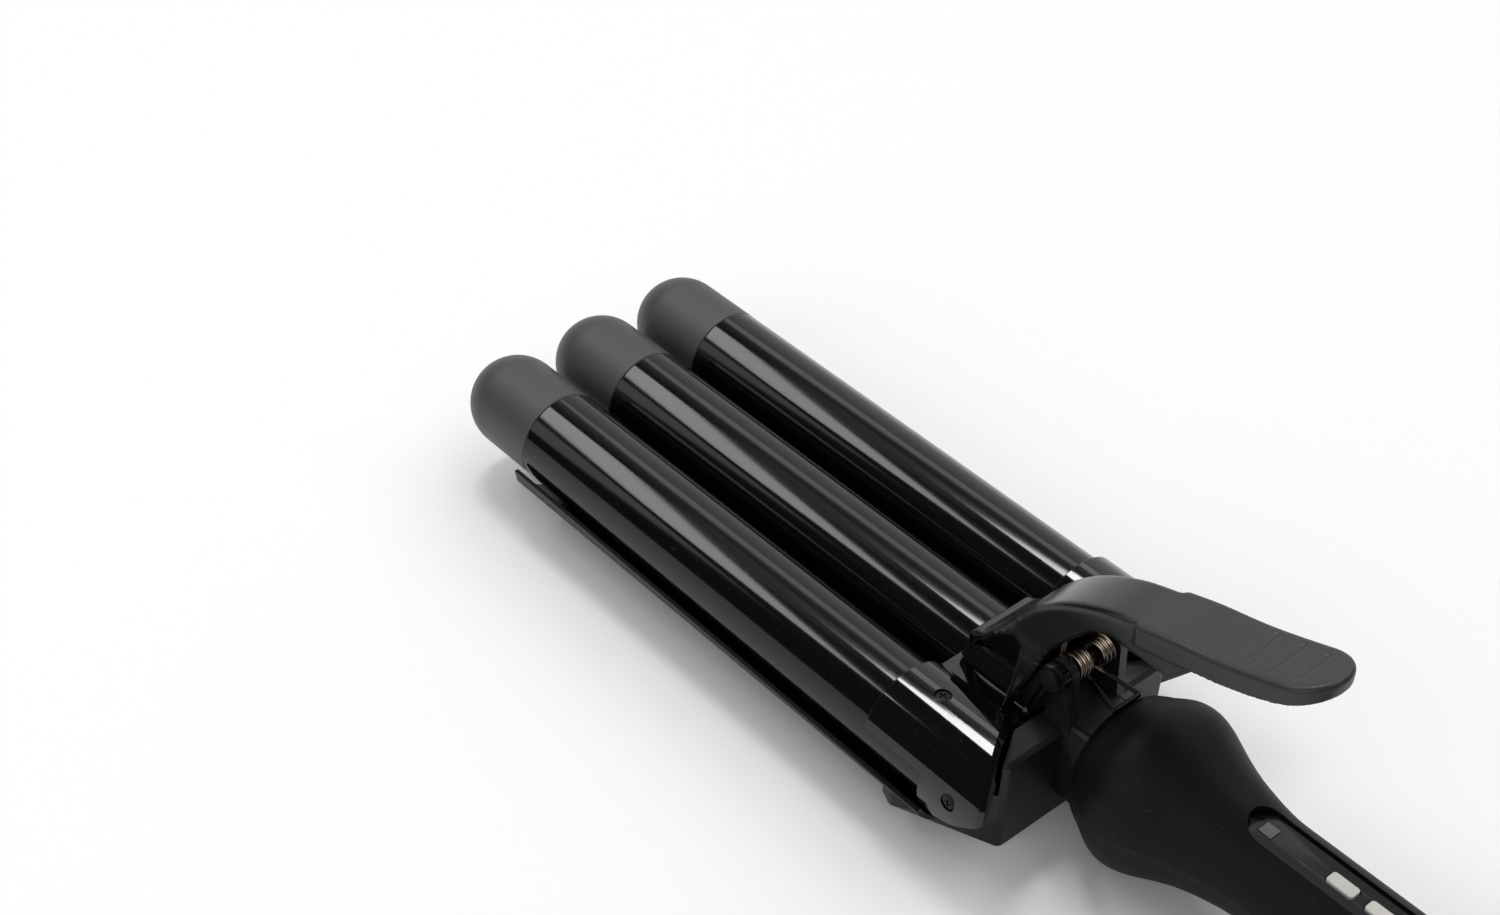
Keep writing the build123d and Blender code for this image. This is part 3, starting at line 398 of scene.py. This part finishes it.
def palette(slot):
    """The material for one of the record's slots."""
    colours = bpy.context.scene.waver_colours
    sizes = bpy.context.scene.waver_sizes
    grain = 1 / sizes.grain
    patch = 1 / sizes.smudge
    recipes = {
        "barrel_coat": dict(colour=colours.coat, roughness=0.1, uneven=0.01, mottle=0.1,
                            patch_scale=patch, grain_scale=260.0, bump=0.04, dust=0.015,
                            wear=0.0, specular=0.36),
        "cap_grey": dict(colour=colours.cap, roughness=0.47, uneven=0.04, mottle=0.08,
                         patch_scale=patch, grain_scale=grain, bump=0.25, dust=0.02, wear=0.1),
        "plate_coat": dict(colour=colours.coat, roughness=0.35, uneven=0.05, patch_scale=patch,
                           grain_scale=300.0, bump=0.04, dust=0.01, wear=0.1, specular=0.12),
        "head_black": dict(colour=colours.head, roughness=0.06, uneven=0.02, patch_scale=patch,
                           grain_scale=500.0, bump=0.06, dust=0.02, wear=0.02,
                           specular=0.55),
        "lever_black": dict(colour=colours.lever, roughness=0.44, uneven=0.05,
                            patch_scale=patch, grain_scale=grain, bump=0.3, dust=0.03,
                            wear=0.02, specular=0.5),
        "housing_charcoal": dict(colour=colours.housing, roughness=0.42, uneven=0.05,
                                 patch_scale=patch, grain_scale=grain, bump=0.3, dust=0.02,
                                 wear=0.02, specular=0.4),
        "handle_charcoal": dict(colour=colours.handle, roughness=0.55, uneven=0.05,
                                patch_scale=patch, grain_scale=grain, bump=0.25, dust=0.02,
                                wear=0.01, specular=0.18),
        "panel_black": dict(colour=colours.panel, roughness=0.12, uneven=0.02,
                            patch_scale=patch, grain_scale=400.0, bump=0.05, dust=0.04,
                            wear=0.05, specular=0.12),
        "key_light": dict(colour=colours.key, roughness=0.3, uneven=0.05, patch_scale=300.0,
                          grain_scale=grain, bump=0.1, dust=0.0, wear=0.0, coat=0.3),
        "window_grey": dict(colour=colours.window, roughness=0.2, uneven=0.05,
                            patch_scale=300.0, grain_scale=grain, bump=0.05, dust=0.0,
                            wear=0.0),
        "spring_wire": dict(colour=colours.wire, roughness=0.3, metallic=1.0, uneven=0.08,
                            patch_scale=260.0, grain_scale=2000.0, bump=0.2, dust=0.0,
                            wear=0.0),
        "steel": dict(colour=colours.steel, roughness=0.35, metallic=0.9, uneven=0.08,
                      patch_scale=300.0, grain_scale=1500.0, bump=0.15, dust=0.02, wear=0.05),
        "aluminium": dict(colour=(0.6, 0.6, 0.6), roughness=0.4, metallic=1.0, uneven=0.1,
                          patch_scale=120.0, grain_scale=900.0, bump=0.2),
        "heater_ceramic": dict(colour=(0.72, 0.70, 0.66), roughness=0.6, uneven=0.05,
                               patch_scale=120.0, grain_scale=1500.0, bump=0.2),
        "board_green": dict(colour=(0.03, 0.16, 0.06), roughness=0.35, uneven=0.05,
                            patch_scale=200.0, grain_scale=900.0, bump=0.1),
        "switch_black": dict(colour=(0.02, 0.02, 0.02), roughness=0.4, uneven=0.05,
                             patch_scale=200.0, grain_scale=grain, bump=0.2),
    }
    return finish(f"waver_{slot}", **recipes[slot])


SLOT_OF = {part["node"]: part["material_slot"] for part in frame["record"]["subparts"]}


# ---- mesh tools ----------------------------------------------------------------------------
def link_piece(name, mesh, slot, body, *nodes):
    """A finished piece with its material, in place of its CAD nodes; body None leaves it free."""
    piece = bpy.data.objects.new(name, mesh)
    bpy.context.scene.collection.objects.link(piece)
    mesh.materials.clear()
    mesh.materials.append(palette(slot))
    if body:
        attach(piece, body)
    if nodes:
        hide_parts(*nodes)
    return piece


def smooth(mesh, angle=30.0):
    """Smooth shading that breaks at edges sharper than the angle in degrees."""
    mesh.polygons.foreach_set("use_smooth", [True] * len(mesh.polygons))
    mesh.set_sharp_from_angle(angle=math.radians(angle))


def body_of(node):
    """The body that a CAD node belongs to."""
    return frame["nodes"][node]["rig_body"]


def plain_mesh(scratch):
    """The mesh that a scratch object comes to; the object is removed."""
    bpy.context.scene.collection.objects.link(scratch)
    bpy.context.view_layer.update()
    graph = bpy.context.evaluated_depsgraph_get()
    mesh = bpy.data.meshes.new_from_object(scratch.evaluated_get(graph))
    bpy.data.objects.remove(scratch)
    return mesh


def evaluated(mesh, add_modifiers):
    """The mesh with modifiers applied, which add_modifiers puts on a scratch object."""
    scratch = bpy.data.objects.new("scratch", mesh)
    add_modifiers(scratch)
    return plain_mesh(scratch)


def merged_copy(node):
    """A copy of a CAD node's mesh with its doubles merged and its flat faces joined."""
    shape = bmesh.new()
    shape.from_mesh(frame["nodes"][node].data)
    bmesh.ops.remove_doubles(shape, verts=shape.verts, dist=DOUBLES)
    bmesh.ops.dissolve_limit(shape, angle_limit=math.radians(FLAT_ANGLE), verts=shape.verts,
                             edges=shape.edges)
    mesh = bpy.data.meshes.new(node)
    shape.to_mesh(mesh)
    shape.free()
    return mesh


def moulded(node, edge, form=None):
    """A moulded piece: the CAD node's form with rounded edges; form may move its points."""
    def bevelled(scratch):
        bevel = scratch.modifiers.new("edges", "BEVEL")
        bevel.width = edge
        bevel.segments = ROUND_STEPS
        bevel.limit_method = "ANGLE"
        bevel.angle_limit = math.radians(SHARP_ANGLE)
        bevel.miter_outer = "MITER_ARC"
        bevel.use_clamp_overlap = True
        even = scratch.modifiers.new("shading", "WEIGHTED_NORMAL")
        even.keep_sharp = True
        even.weight = 60

    source = merged_copy(node)
    if form:
        form(source)
    smooth(source, ALL_SMOOTH)
    mesh = evaluated(source, bevelled)
    return link_piece(f"{node}_moulded", mesh, SLOT_OF[node], body_of(node), node)


def softened(node, voxel, passes, form=None):
    """A moulded piece with every edge worn round; form may then move its points."""
    def worn(scratch):
        even = scratch.modifiers.new("even", "REMESH")
        even.mode = "VOXEL"
        even.voxel_size = voxel
        round_off = scratch.modifiers.new("round", "SMOOTH")
        round_off.factor = 0.5
        round_off.iterations = passes

    mesh = evaluated(merged_copy(node), worn)
    if form:
        form(mesh)
    smooth(mesh, ALL_SMOOTH)
    return link_piece(f"{node}_moulded", mesh, SLOT_OF[node], body_of(node), node)


def rounded_profile(points):
    """A 2-D outline whose corners are rounded: points are (x, r) or (x, r, corner radius)."""
    outline = []
    for index, point in enumerate(points):
        corner = Vector(point[:2])
        radius = point[2] if len(point) > 2 else 0.0
        before = Vector(points[index - 1][:2]) - corner
        after = Vector(points[(index + 1) % len(points)][:2]) - corner
        if radius <= 0:
            outline.append(corner)
            continue
        half = before.angle(after) / 2
        reach = radius / math.tan(half)
        start = corner + before.normalized() * reach
        end = corner + after.normalized() * reach
        middle = corner + (before.normalized() + after.normalized()).normalized() * (
            radius / math.sin(half))
        first = math.atan2(*(start - middle).yx)
        sweep = math.remainder(math.atan2(*(end - middle).yx) - first, math.tau)
        for step in range(RIM_STEPS + 1):
            angle = first + sweep * step / RIM_STEPS
            outline.append(middle + radius * Vector((math.cos(angle), math.sin(angle))))
    return outline


def quarter(start, radius, steps):
    """A quarter circle of (x, radius) points from the wall at start to the axis."""
    angles = [math.pi / 2 * k / steps for k in range(steps + 1)]
    return [(start + radius * math.sin(a), radius * math.cos(a)) for a in angles]


def turned_mesh(name, outline, y, z):
    """A closed (x, radius) outline turned about the line through (y, z) along X."""
    turn = [math.tau * k / TURNED_SIDES for k in range(TURNED_SIDES)]
    shape = bmesh.new()
    rings = []
    for x, radius in outline:
        if radius < ON_AXIS:
            rings.append([shape.verts.new((x, y, z))])
            continue
        rings.append([
            shape.verts.new((x, y + radius * math.cos(a), z + radius * math.sin(a)))
            for a in turn])
    for ring, following in zip(rings, rings[1:] + rings[:1]):
        for k in range(TURNED_SIDES):
            near = (k + 1) % TURNED_SIDES
            corners = [ring[k % len(ring)], ring[near % len(ring)],
                       following[near % len(following)], following[k % len(following)]]
            corners = list(dict.fromkeys(corners))
            if len(corners) > 2:
                shape.faces.new(corners)
    bmesh.ops.recalc_face_normals(shape, faces=shape.faces)
    mesh = bpy.data.meshes.new(name)
    shape.to_mesh(mesh)
    shape.free()
    smooth(mesh)
    return mesh


# ---- pieces --------------------------------------------------------------------------------
def build_barrels(sizes):
    """Three coated tubes and their matte caps."""
    low, edge, seam = TUBE_BOX[0].x, sizes.tube_edge, sizes.seam
    near, far = low + 2 * edge, SEAM_X - 2 * edge      # rings that keep the wall straight
    bore = TUBE_R - TUBE_WALL
    tube = rounded_profile([
        (low, TUBE_R, edge), (near, TUBE_R), (far, TUBE_R), (SEAM_X, TUBE_R, edge),
        (SEAM_X, bore, edge), (low, bore, edge)])
    spigot = bore - CAP_FIT
    hollow = spigot - CAP_WALL
    dome_x = CAP_BOX[1].x - TUBE_R
    cap = [Vector(point) for point in (
        (SEAM_X, spigot), (SEAM_X, TUBE_R - 2 * seam), (SEAM_X + 0.2 * seam, TUBE_R - seam),
        (SEAM_X + 0.5 * seam, TUBE_R - 0.4 * seam), (SEAM_X + seam, TUBE_R),
        (SEAM_X + 2 * seam, TUBE_R), *quarter(dome_x, TUBE_R, DOME_STEPS),
        *reversed(quarter(dome_x, hollow, BORE_STEPS)), (CAP_BOX[0].x, hollow),
        (CAP_BOX[0].x, spigot))]
    for place, y in BARREL_YS.items():
        link_piece(f"tube_{place}", turned_mesh("tube", tube, y, AXIS_Z), "barrel_coat", "jaw",
                   f"barrel_{place}")
        link_piece(f"nose_{place}", turned_mesh("cap", cap, y, AXIS_Z), "cap_grey", "jaw",
                   f"cap_{place}")


def press_grooves(mesh):
    """Presses the shallow curved grooves across the lever's paddle."""
    for vertex in mesh.vertices:
        back = SEAM_X - vertex.co.x
        side = vertex.co.y
        if back < GROOVES_FROM or vertex.normal.z < FACES_UP:
            continue
        for centre, half in GROOVES:
            along = max(0.0, abs(side) - half)
            across = back - centre + GROOVE_BEND * side * side
            share = 1 - min(1.0, math.hypot(along, across) / GROOVE_WIDTH)
            vertex.co.z -= GROOVE_DEPTH * share * share * (3 - 2 * share)


def raise_rims(mesh):
    """Carries the plate's thin side walls up to their rims."""
    (front, low), (rear, high) = RIM_UP.items()
    for vertex in mesh.vertices:
        place = vertex.co
        rise = place.z - AXIS_Z
        if rise < RIM_FROM_Z or abs(place.y) < RIM_FROM_Y or place.x < RIM_REAR_X:
            continue
        share = min(1.0, max(0.0, (SEAM_X - place.x - front) / (rear - front)))
        outside = math.hypot(abs(place.y) - PITCH, rise) > PLATE_MIDDLE_R
        wall = CAD_BOX[1].y - (0 if outside else PLATE_WALL)
        vertex.co = place.x, math.copysign(wall, place.y), AXIS_Z + low + (high - low) * share


def spring_points():
    """The middle line of one half of the spring, from the leg's end to the loop's middle."""
    turns = int((COIL_TO - COIL_FROM) / COIL_STEP)
    coil = []
    for k in range(turns + 1):
        share = k / turns
        angle = math.radians(COIL_TO + (COIL_FROM - COIL_TO) * share)
        coil.append(Vector((COIL_R * math.cos(angle), COIL_OUT + (COIL_IN - COIL_OUT) * share,
                            COIL_R * math.sin(angle))))
    into = (coil[-1] - LOOP_END).normalized() * LOOP_ROUND
    return [LEG_END, coil[0].lerp(LEG_END, WIRE_EASE), *coil,
            coil[-1].lerp(LOOP_END, WIRE_EASE), LOOP_END + into, LOOP_END,
            LOOP_END - Vector((0, LOOP_ROUND, 0))]


def build_spring():
    """One round wire: a leg, a coil, the loop, the other coil and its leg, with painted shade on
    the loop.
    """
    half = spring_points()
    run = half + [Vector((p.x, -p.y, p.z)) for p in reversed(half)]
    curve = bpy.data.curves.new("wire", "CURVE")
    curve.dimensions = "3D"
    spline = curve.splines.new("NURBS")
    spline.points.add(len(run) - 1)
    for point, place in zip(spline.points, run):
        point.co = (*(HINGE + place), 1)
    spline.order_u = 3
    spline.use_endpoint_u = True
    spline.resolution_u = 2
    curve.bevel_depth = WIRE_R
    curve.bevel_resolution = 3
    curve.use_fill_caps = True
    mesh = plain_mesh(bpy.data.objects.new("wire", curve))
    smooth(mesh, WIRE_SHARP)
    piece = link_piece("spring_wire", mesh, "spring_wire", None, "torsion_spring")
    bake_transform(piece)
    # painted shade: the wire's colour fades almost to black behind the pin, so the loop looks
    # shadowed
    fade(piece.data.materials[0], "Base Color", HINGE.x - PAINTED_SHADE_FROM, HINGE.x - PAINTED_SHADE_TO,
         LOOP_PAINTED_SHADE)


def screw_tree():
    """Geometry nodes that put a domed, cross-recessed screw on every point."""
    name = "screws"
    if name in bpy.data.node_groups:
        return bpy.data.node_groups[name]
    tree = bpy.data.node_groups.new(name, "GeometryNodeTree")
    group_socket(tree, "Geometry", "NodeSocketGeometry", into=False)
    group_socket(tree, "Seats", "NodeSocketGeometry")
    for label, value in (("Head Radius", 2.0), ("Head Height", 1.0), ("Shank Radius", 1.0),
                         ("Shank Length", 5.0)):
        group_socket(tree, label, "NodeSocketFloat", value=value * MM)
    group_socket(tree, "Material", "NodeSocketMaterial")
    nodes, links = tree.nodes, tree.links
    given = nodes.new("NodeGroupInput").outputs
    radius, height = given["Head Radius"], given["Head Height"]

    def vector(*parts):
        node = nodes.new("ShaderNodeCombineXYZ")
        for slot, part in enumerate(parts):
            feed(tree, node.inputs[slot], part)
        return node.outputs[0]

    def times(value, factor):
        return math_node(tree, "MULTIPLY", value, factor)

    def placed(geometry, up, scale=None):
        node = nodes.new("GeometryNodeTransform")
        links.new(geometry, node.inputs["Geometry"])
        links.new(vector(0.0, 0.0, up), node.inputs["Translation"])
        if scale:
            links.new(vector(1.0, 1.0, scale), node.inputs["Scale"])
        return node.outputs["Geometry"]

    def cylinder(size, depth):
        node = nodes.new("GeometryNodeMeshCylinder")
        node.inputs["Vertices"].default_value = SCREW_SIDES
        links.new(size, node.inputs["Radius"])
        links.new(depth, node.inputs["Depth"])
        return node.outputs["Mesh"]

    def combined(operation, first, *others):
        node = nodes.new("GeometryNodeMeshBoolean")
        node.operation = operation
        node.solver = "EXACT"
        if first:
            links.new(first, node.inputs["Mesh 1"])
        for other in others:
            links.new(other, node.inputs["Mesh 2"])
        return node.outputs["Mesh"]

    waist = times(height, SCREW_RIM / 2)
    rim = placed(cylinder(radius, times(height, SCREW_RIM)), waist)
    ball = nodes.new("GeometryNodeMeshUVSphere")
    ball.inputs["Segments"].default_value = SCREW_SIDES
    links.new(radius, ball.inputs["Radius"])
    dome = placed(ball.outputs["Mesh"], times(height, DOME_FROM),
                  math_node(tree, "DIVIDE", times(height, DOME_HIGH), radius))
    long = math_node(tree, "ADD", given["Shank Length"], waist)
    shank = placed(cylinder(given["Shank Radius"], long),
                   math_node(tree, "MULTIPLY_ADD", long, -0.5, waist))
    slots = []
    for along, across in ((CROSS_LONG, CROSS_WIDE), (CROSS_WIDE, CROSS_LONG)):
        bar = nodes.new("GeometryNodeMeshCube")
        links.new(vector(times(radius, along), times(radius, across), height),
                  bar.inputs["Size"])
        slots.append(placed(bar.outputs["Mesh"], height))
    screw = combined("DIFFERENCE", combined("UNION", None, rim, dome, shank), *slots)

    axis = nodes.new("GeometryNodeInputNamedAttribute")
    axis.data_type = "FLOAT_VECTOR"
    axis.inputs["Name"].default_value = "axis"
    turn = nodes.new("FunctionNodeAlignRotationToVector")
    turn.axis = "Z"
    links.new(axis.outputs["Attribute"], turn.inputs["Vector"])
    place = nodes.new("GeometryNodeInstanceOnPoints")
    links.new(given["Seats"], place.inputs["Points"])
    links.new(screw, place.inputs["Instance"])
    links.new(turn.outputs["Rotation"], place.inputs["Rotation"])
    real = nodes.new("GeometryNodeRealizeInstances")
    links.new(place.outputs["Instances"], real.inputs["Geometry"])
    coat = nodes.new("GeometryNodeSetMaterial")
    links.new(real.outputs["Geometry"], coat.inputs["Geometry"])
    links.new(given["Material"], coat.inputs["Material"])
    links.new(coat.outputs["Geometry"], nodes.new("NodeGroupOutput").inputs["Geometry"])
    return tree


def build_screws(node):
    """The screws of one CAD node, on their seats."""
    seats, sizes = SCREWS[node]
    points = bpy.data.meshes.new("seats")
    points.from_pydata([Vector(place) * MM for place, _ in seats], [], [])
    axes = points.attributes.new("axis", "FLOAT_VECTOR", "POINT")
    axes.data.foreach_set("vector", [value for _, axis in seats for value in axis])

    def grown(scratch):
        nodes = scratch.modifiers.new("screws", "NODES")
        nodes.node_group = screw_tree()
        values = dict(zip(("Head Radius", "Head Height", "Shank Radius", "Shank Length"),
                          (size * MM for size in sizes)))
        values["Material"] = palette(SLOT_OF[node])
        for item in nodes.node_group.interface.items_tree:
            if item.in_out == "INPUT" and item.name in values:
                nodes[item.identifier] = values[item.name]

    mesh = evaluated(points, grown)
    smooth(mesh)
    link_piece(f"{node}_cross", mesh, SLOT_OF[node], body_of(node), node)


def finish_nodes(nodes):
    """Gives CAD nodes that keep their own shape the material of their slot."""
    for node in nodes:
        mesh = frame["nodes"][node]
        mesh.data.materials.clear()
        mesh.data.materials.append(palette(SLOT_OF[node]))


def aimed(forward, tilt):
    """The rotation of a lamp or camera that looks forward and is tipped by tilt degrees."""
    level = forward.to_track_quat("-Z", "Y")
    return level @ Matrix.Rotation(math.radians(tilt), 3, "Z").to_quaternion()


def softbox(name, azimuth, elevation, distance, width, height, radiance, tilt):
    """A rectangular lamp that faces the light's centre from a direction in degrees."""
    lamp = bpy.data.lights.new(name, "AREA")
    lamp.shape = "RECTANGLE"
    lamp.size = width
    lamp.size_y = height
    lamp.energy = radiance * math.pi * width * height
    piece = bpy.data.objects.new(name, lamp)
    bpy.context.scene.collection.objects.link(piece)
    turn, rise = math.radians(azimuth), math.radians(elevation)
    away = Vector((math.cos(turn) * math.cos(rise), math.sin(turn) * math.cos(rise),
                   math.sin(rise)))
    piece.location = LIGHT_CENTRE + away * distance
    piece.rotation_mode = "QUATERNION"
    piece.rotation_quaternion = aimed(LIGHT_CENTRE - piece.location, tilt)


def build_world():
    """A studio with one bright side and a pale look for the camera."""
    world = bpy.data.worlds.new("studio")
    bpy.context.scene.world = world
    world.use_nodes = True
    tree = world.node_tree
    nodes, links = tree.nodes, tree.links
    back = nodes["Background"]
    direction = nodes.new("ShaderNodeTexCoord").outputs["Generated"]
    side = nodes.new("ShaderNodeVectorMath")
    side.operation = "DOT_PRODUCT"
    side.inputs[1].default_value = WALL_SIDE
    links.new(direction, side.inputs[0])
    ramp = nodes.new("ShaderNodeMapRange")
    ramp.interpolation_type = "SMOOTHSTEP"
    ramp.inputs["From Min"].default_value = WALL_FROM
    ramp.inputs["From Max"].default_value = WALL_TO
    ramp.inputs["To Min"].default_value = ROOM_LIGHT
    ramp.inputs["To Max"].default_value = WALL_LIGHT
    links.new(side.outputs["Value"], ramp.inputs["Value"])
    path = nodes.new("ShaderNodeLightPath")
    seen = nodes.new("ShaderNodeMix")
    links.new(path.outputs["Is Camera Ray"], seen.inputs["Factor"])
    links.new(ramp.outputs["Result"], seen.inputs["A"])
    seen.inputs["B"].default_value = 1.0
    links.new(seen.outputs["Result"], back.inputs["Strength"])
    back.inputs["Color"].default_value = (1, 1, 1, 1)


def build_stage(sizes, colours):
    """Floor, soft lamps and the camera."""
    shape = bmesh.new()
    bmesh.ops.create_grid(shape, x_segments=1, y_segments=1, size=sizes.floor)
    mesh = bpy.data.meshes.new("floor")
    shape.to_mesh(mesh)
    shape.free()
    floor = bpy.data.objects.new("floor", mesh)
    bpy.context.scene.collection.objects.link(floor)
    material = bpy.data.materials.new("floor")
    material.use_nodes = True
    shader = material.node_tree.nodes["Principled BSDF"]
    shader.inputs["Base Color"].default_value = (*colours.floor, 1)
    shader.inputs["Roughness"].default_value = FLOOR_ROUGHNESS
    shader.inputs["Specular IOR Level"].default_value = FLOOR_SPECULAR
    mesh.materials.append(material)
    build_world()
    for lamp in LAMPS:
        softbox(*lamp)

    camera = bpy.data.objects.new("camera", bpy.data.cameras.new("camera"))
    bpy.context.scene.collection.objects.link(camera)
    turn, down = math.radians(CAMERA_SIDE), math.radians(CAMERA_DOWN)
    forward = Vector((math.cos(turn) * math.cos(down), -math.sin(turn) * math.cos(down),
                      -math.sin(down)))
    camera.location = CAMERA_TARGET - forward * CAMERA_DISTANCE
    camera.rotation_mode = "QUATERNION"
    camera.rotation_quaternion = aimed(forward, -CAMERA_ROLL)
    camera.data.lens = CAMERA_LENS
    camera.data.sensor_width = CAMERA_SENSOR
    bpy.context.scene.camera = camera
    bpy.context.scene.view_settings.view_transform = "Standard"


# ---- operators -----------------------------------------------------------------------------
class WAVER_OT_stage(bpy.types.Operator):
    """Makes the floor, the studio light and the camera"""

    bl_idname = "waver.stage"
    bl_label = "Stage"

    def execute(self, context):
        build_stage(context.scene.waver_sizes, context.scene.waver_colours)
        return {"FINISHED"}


class WAVER_OT_barrels(bpy.types.Operator):
    """Makes the coated tubes and their caps"""

    bl_idname = "waver.barrels"
    bl_label = "Barrels"

    def execute(self, context):
        build_barrels(context.scene.waver_sizes)
        return {"FINISHED"}


class WAVER_OT_head(bpy.types.Operator):
    """Makes the polished head that holds the tubes, and its screws"""

    bl_idname = "waver.head"
    bl_label = "Head"

    def execute(self, context):
        moulded("barrel_head", context.scene.waver_sizes.moulded_edge)
        build_screws("head_screws")
        return {"FINISHED"}


class WAVER_OT_lever(bpy.types.Operator):
    """Makes the thumb lever: a matte paddle on a glossy arch"""

    bl_idname = "waver.lever"
    bl_label = "Lever"

    def execute(self, context):
        lever = softened("lever", context.scene.waver_sizes.voxel, LEVER_PASSES, press_grooves)
        for label, share in (("Base Color", ARCH_COLOUR), ("Roughness", ARCH_ROUGHNESS)):
            fade(lever.data.materials[0], label, SEAM_X - PADDLE_BACK, SEAM_X - ARCH_BACK, share)
        return {"FINISHED"}


class WAVER_OT_housing(bpy.types.Operator):
    """Makes the lower housing, the wave plate, its screws and the spring"""

    bl_idname = "waver.housing"
    bl_label = "Housing"

    def execute(self, context):
        edge = context.scene.waver_sizes.moulded_edge
        moulded("lower_housing", edge)
        moulded("wave_plate", edge / 2, form=raise_rims)
        build_screws("plate_screws")
        build_spring()
        return {"FINISHED"}


class WAVER_OT_handle(bpy.types.Operator):
    """Makes the handle's shells and screws, its end cap and gland"""

    bl_idname = "waver.handle"
    bl_label = "Handle"

    def execute(self, context):
        edge = context.scene.waver_sizes.moulded_edge
        for node in ("handle_shell_upper", "handle_shell_lower", "end_cap", "swivel_gland"):
            moulded(node, edge / 2)
        build_screws("handle_screws")
        return {"FINISHED"}


class WAVER_OT_panel(bpy.types.Operator):
    """Makes the control panel, its window and keys"""

    bl_idname = "waver.controls"
    bl_label = "Controls"

    def execute(self, context):
        edge = context.scene.waver_sizes.moulded_edge
        for node in ("control_panel", "indicator_window", "power_key", "plus_key",
                     "minus_key"):
            moulded(node, edge / 2)
        return {"FINISHED"}


class WAVER_OT_inside(bpy.types.Operator):
    """Finishes the hinge pin and the pieces inside, which keep their own shape"""

    bl_idname = "waver.inside"
    bl_label = "Inside"

    def execute(self, context):
        finish_nodes(node for node, piece in frame["nodes"].items() if not piece.hide_render)
        return {"FINISHED"}


class VIEW3D_PT_waver(bpy.types.Panel):
    """Lists the waver's sizes, colours and steps"""

    bl_label = "Hair waver"
    bl_space_type = "VIEW_3D"
    bl_region_type = "UI"
    bl_category = "Waver"

    def draw(self, context):
        for group in (context.scene.waver_sizes, context.scene.waver_colours):
            for name in group.__annotations__:
                self.layout.prop(group, name)
        for step in STEPS:
            self.layout.operator(step.bl_idname)


STEPS = (WAVER_OT_stage, WAVER_OT_barrels, WAVER_OT_head, WAVER_OT_lever, WAVER_OT_housing,
         WAVER_OT_handle, WAVER_OT_panel, WAVER_OT_inside)
CLASSES = (WaverSizes, WaverColours, *STEPS, VIEW3D_PT_waver)


def register():
    """Registers the classes and the scene's properties."""
    for item in CLASSES:
        bpy.utils.register_class(item)
    bpy.types.Scene.waver_sizes = bpy.props.PointerProperty(type=WaverSizes)
    bpy.types.Scene.waver_colours = bpy.props.PointerProperty(type=WaverColours)


def unregister():
    """Removes what register() added."""
    del bpy.types.Scene.waver_colours
    del bpy.types.Scene.waver_sizes
    for item in reversed(CLASSES):
        bpy.utils.unregister_class(item)


def main():
    """Builds everything in order."""
    register()
    for step in STEPS:
        getattr(bpy.ops.waver, step.bl_idname.split(".")[1])()


if __name__ == "__main__":
    main()
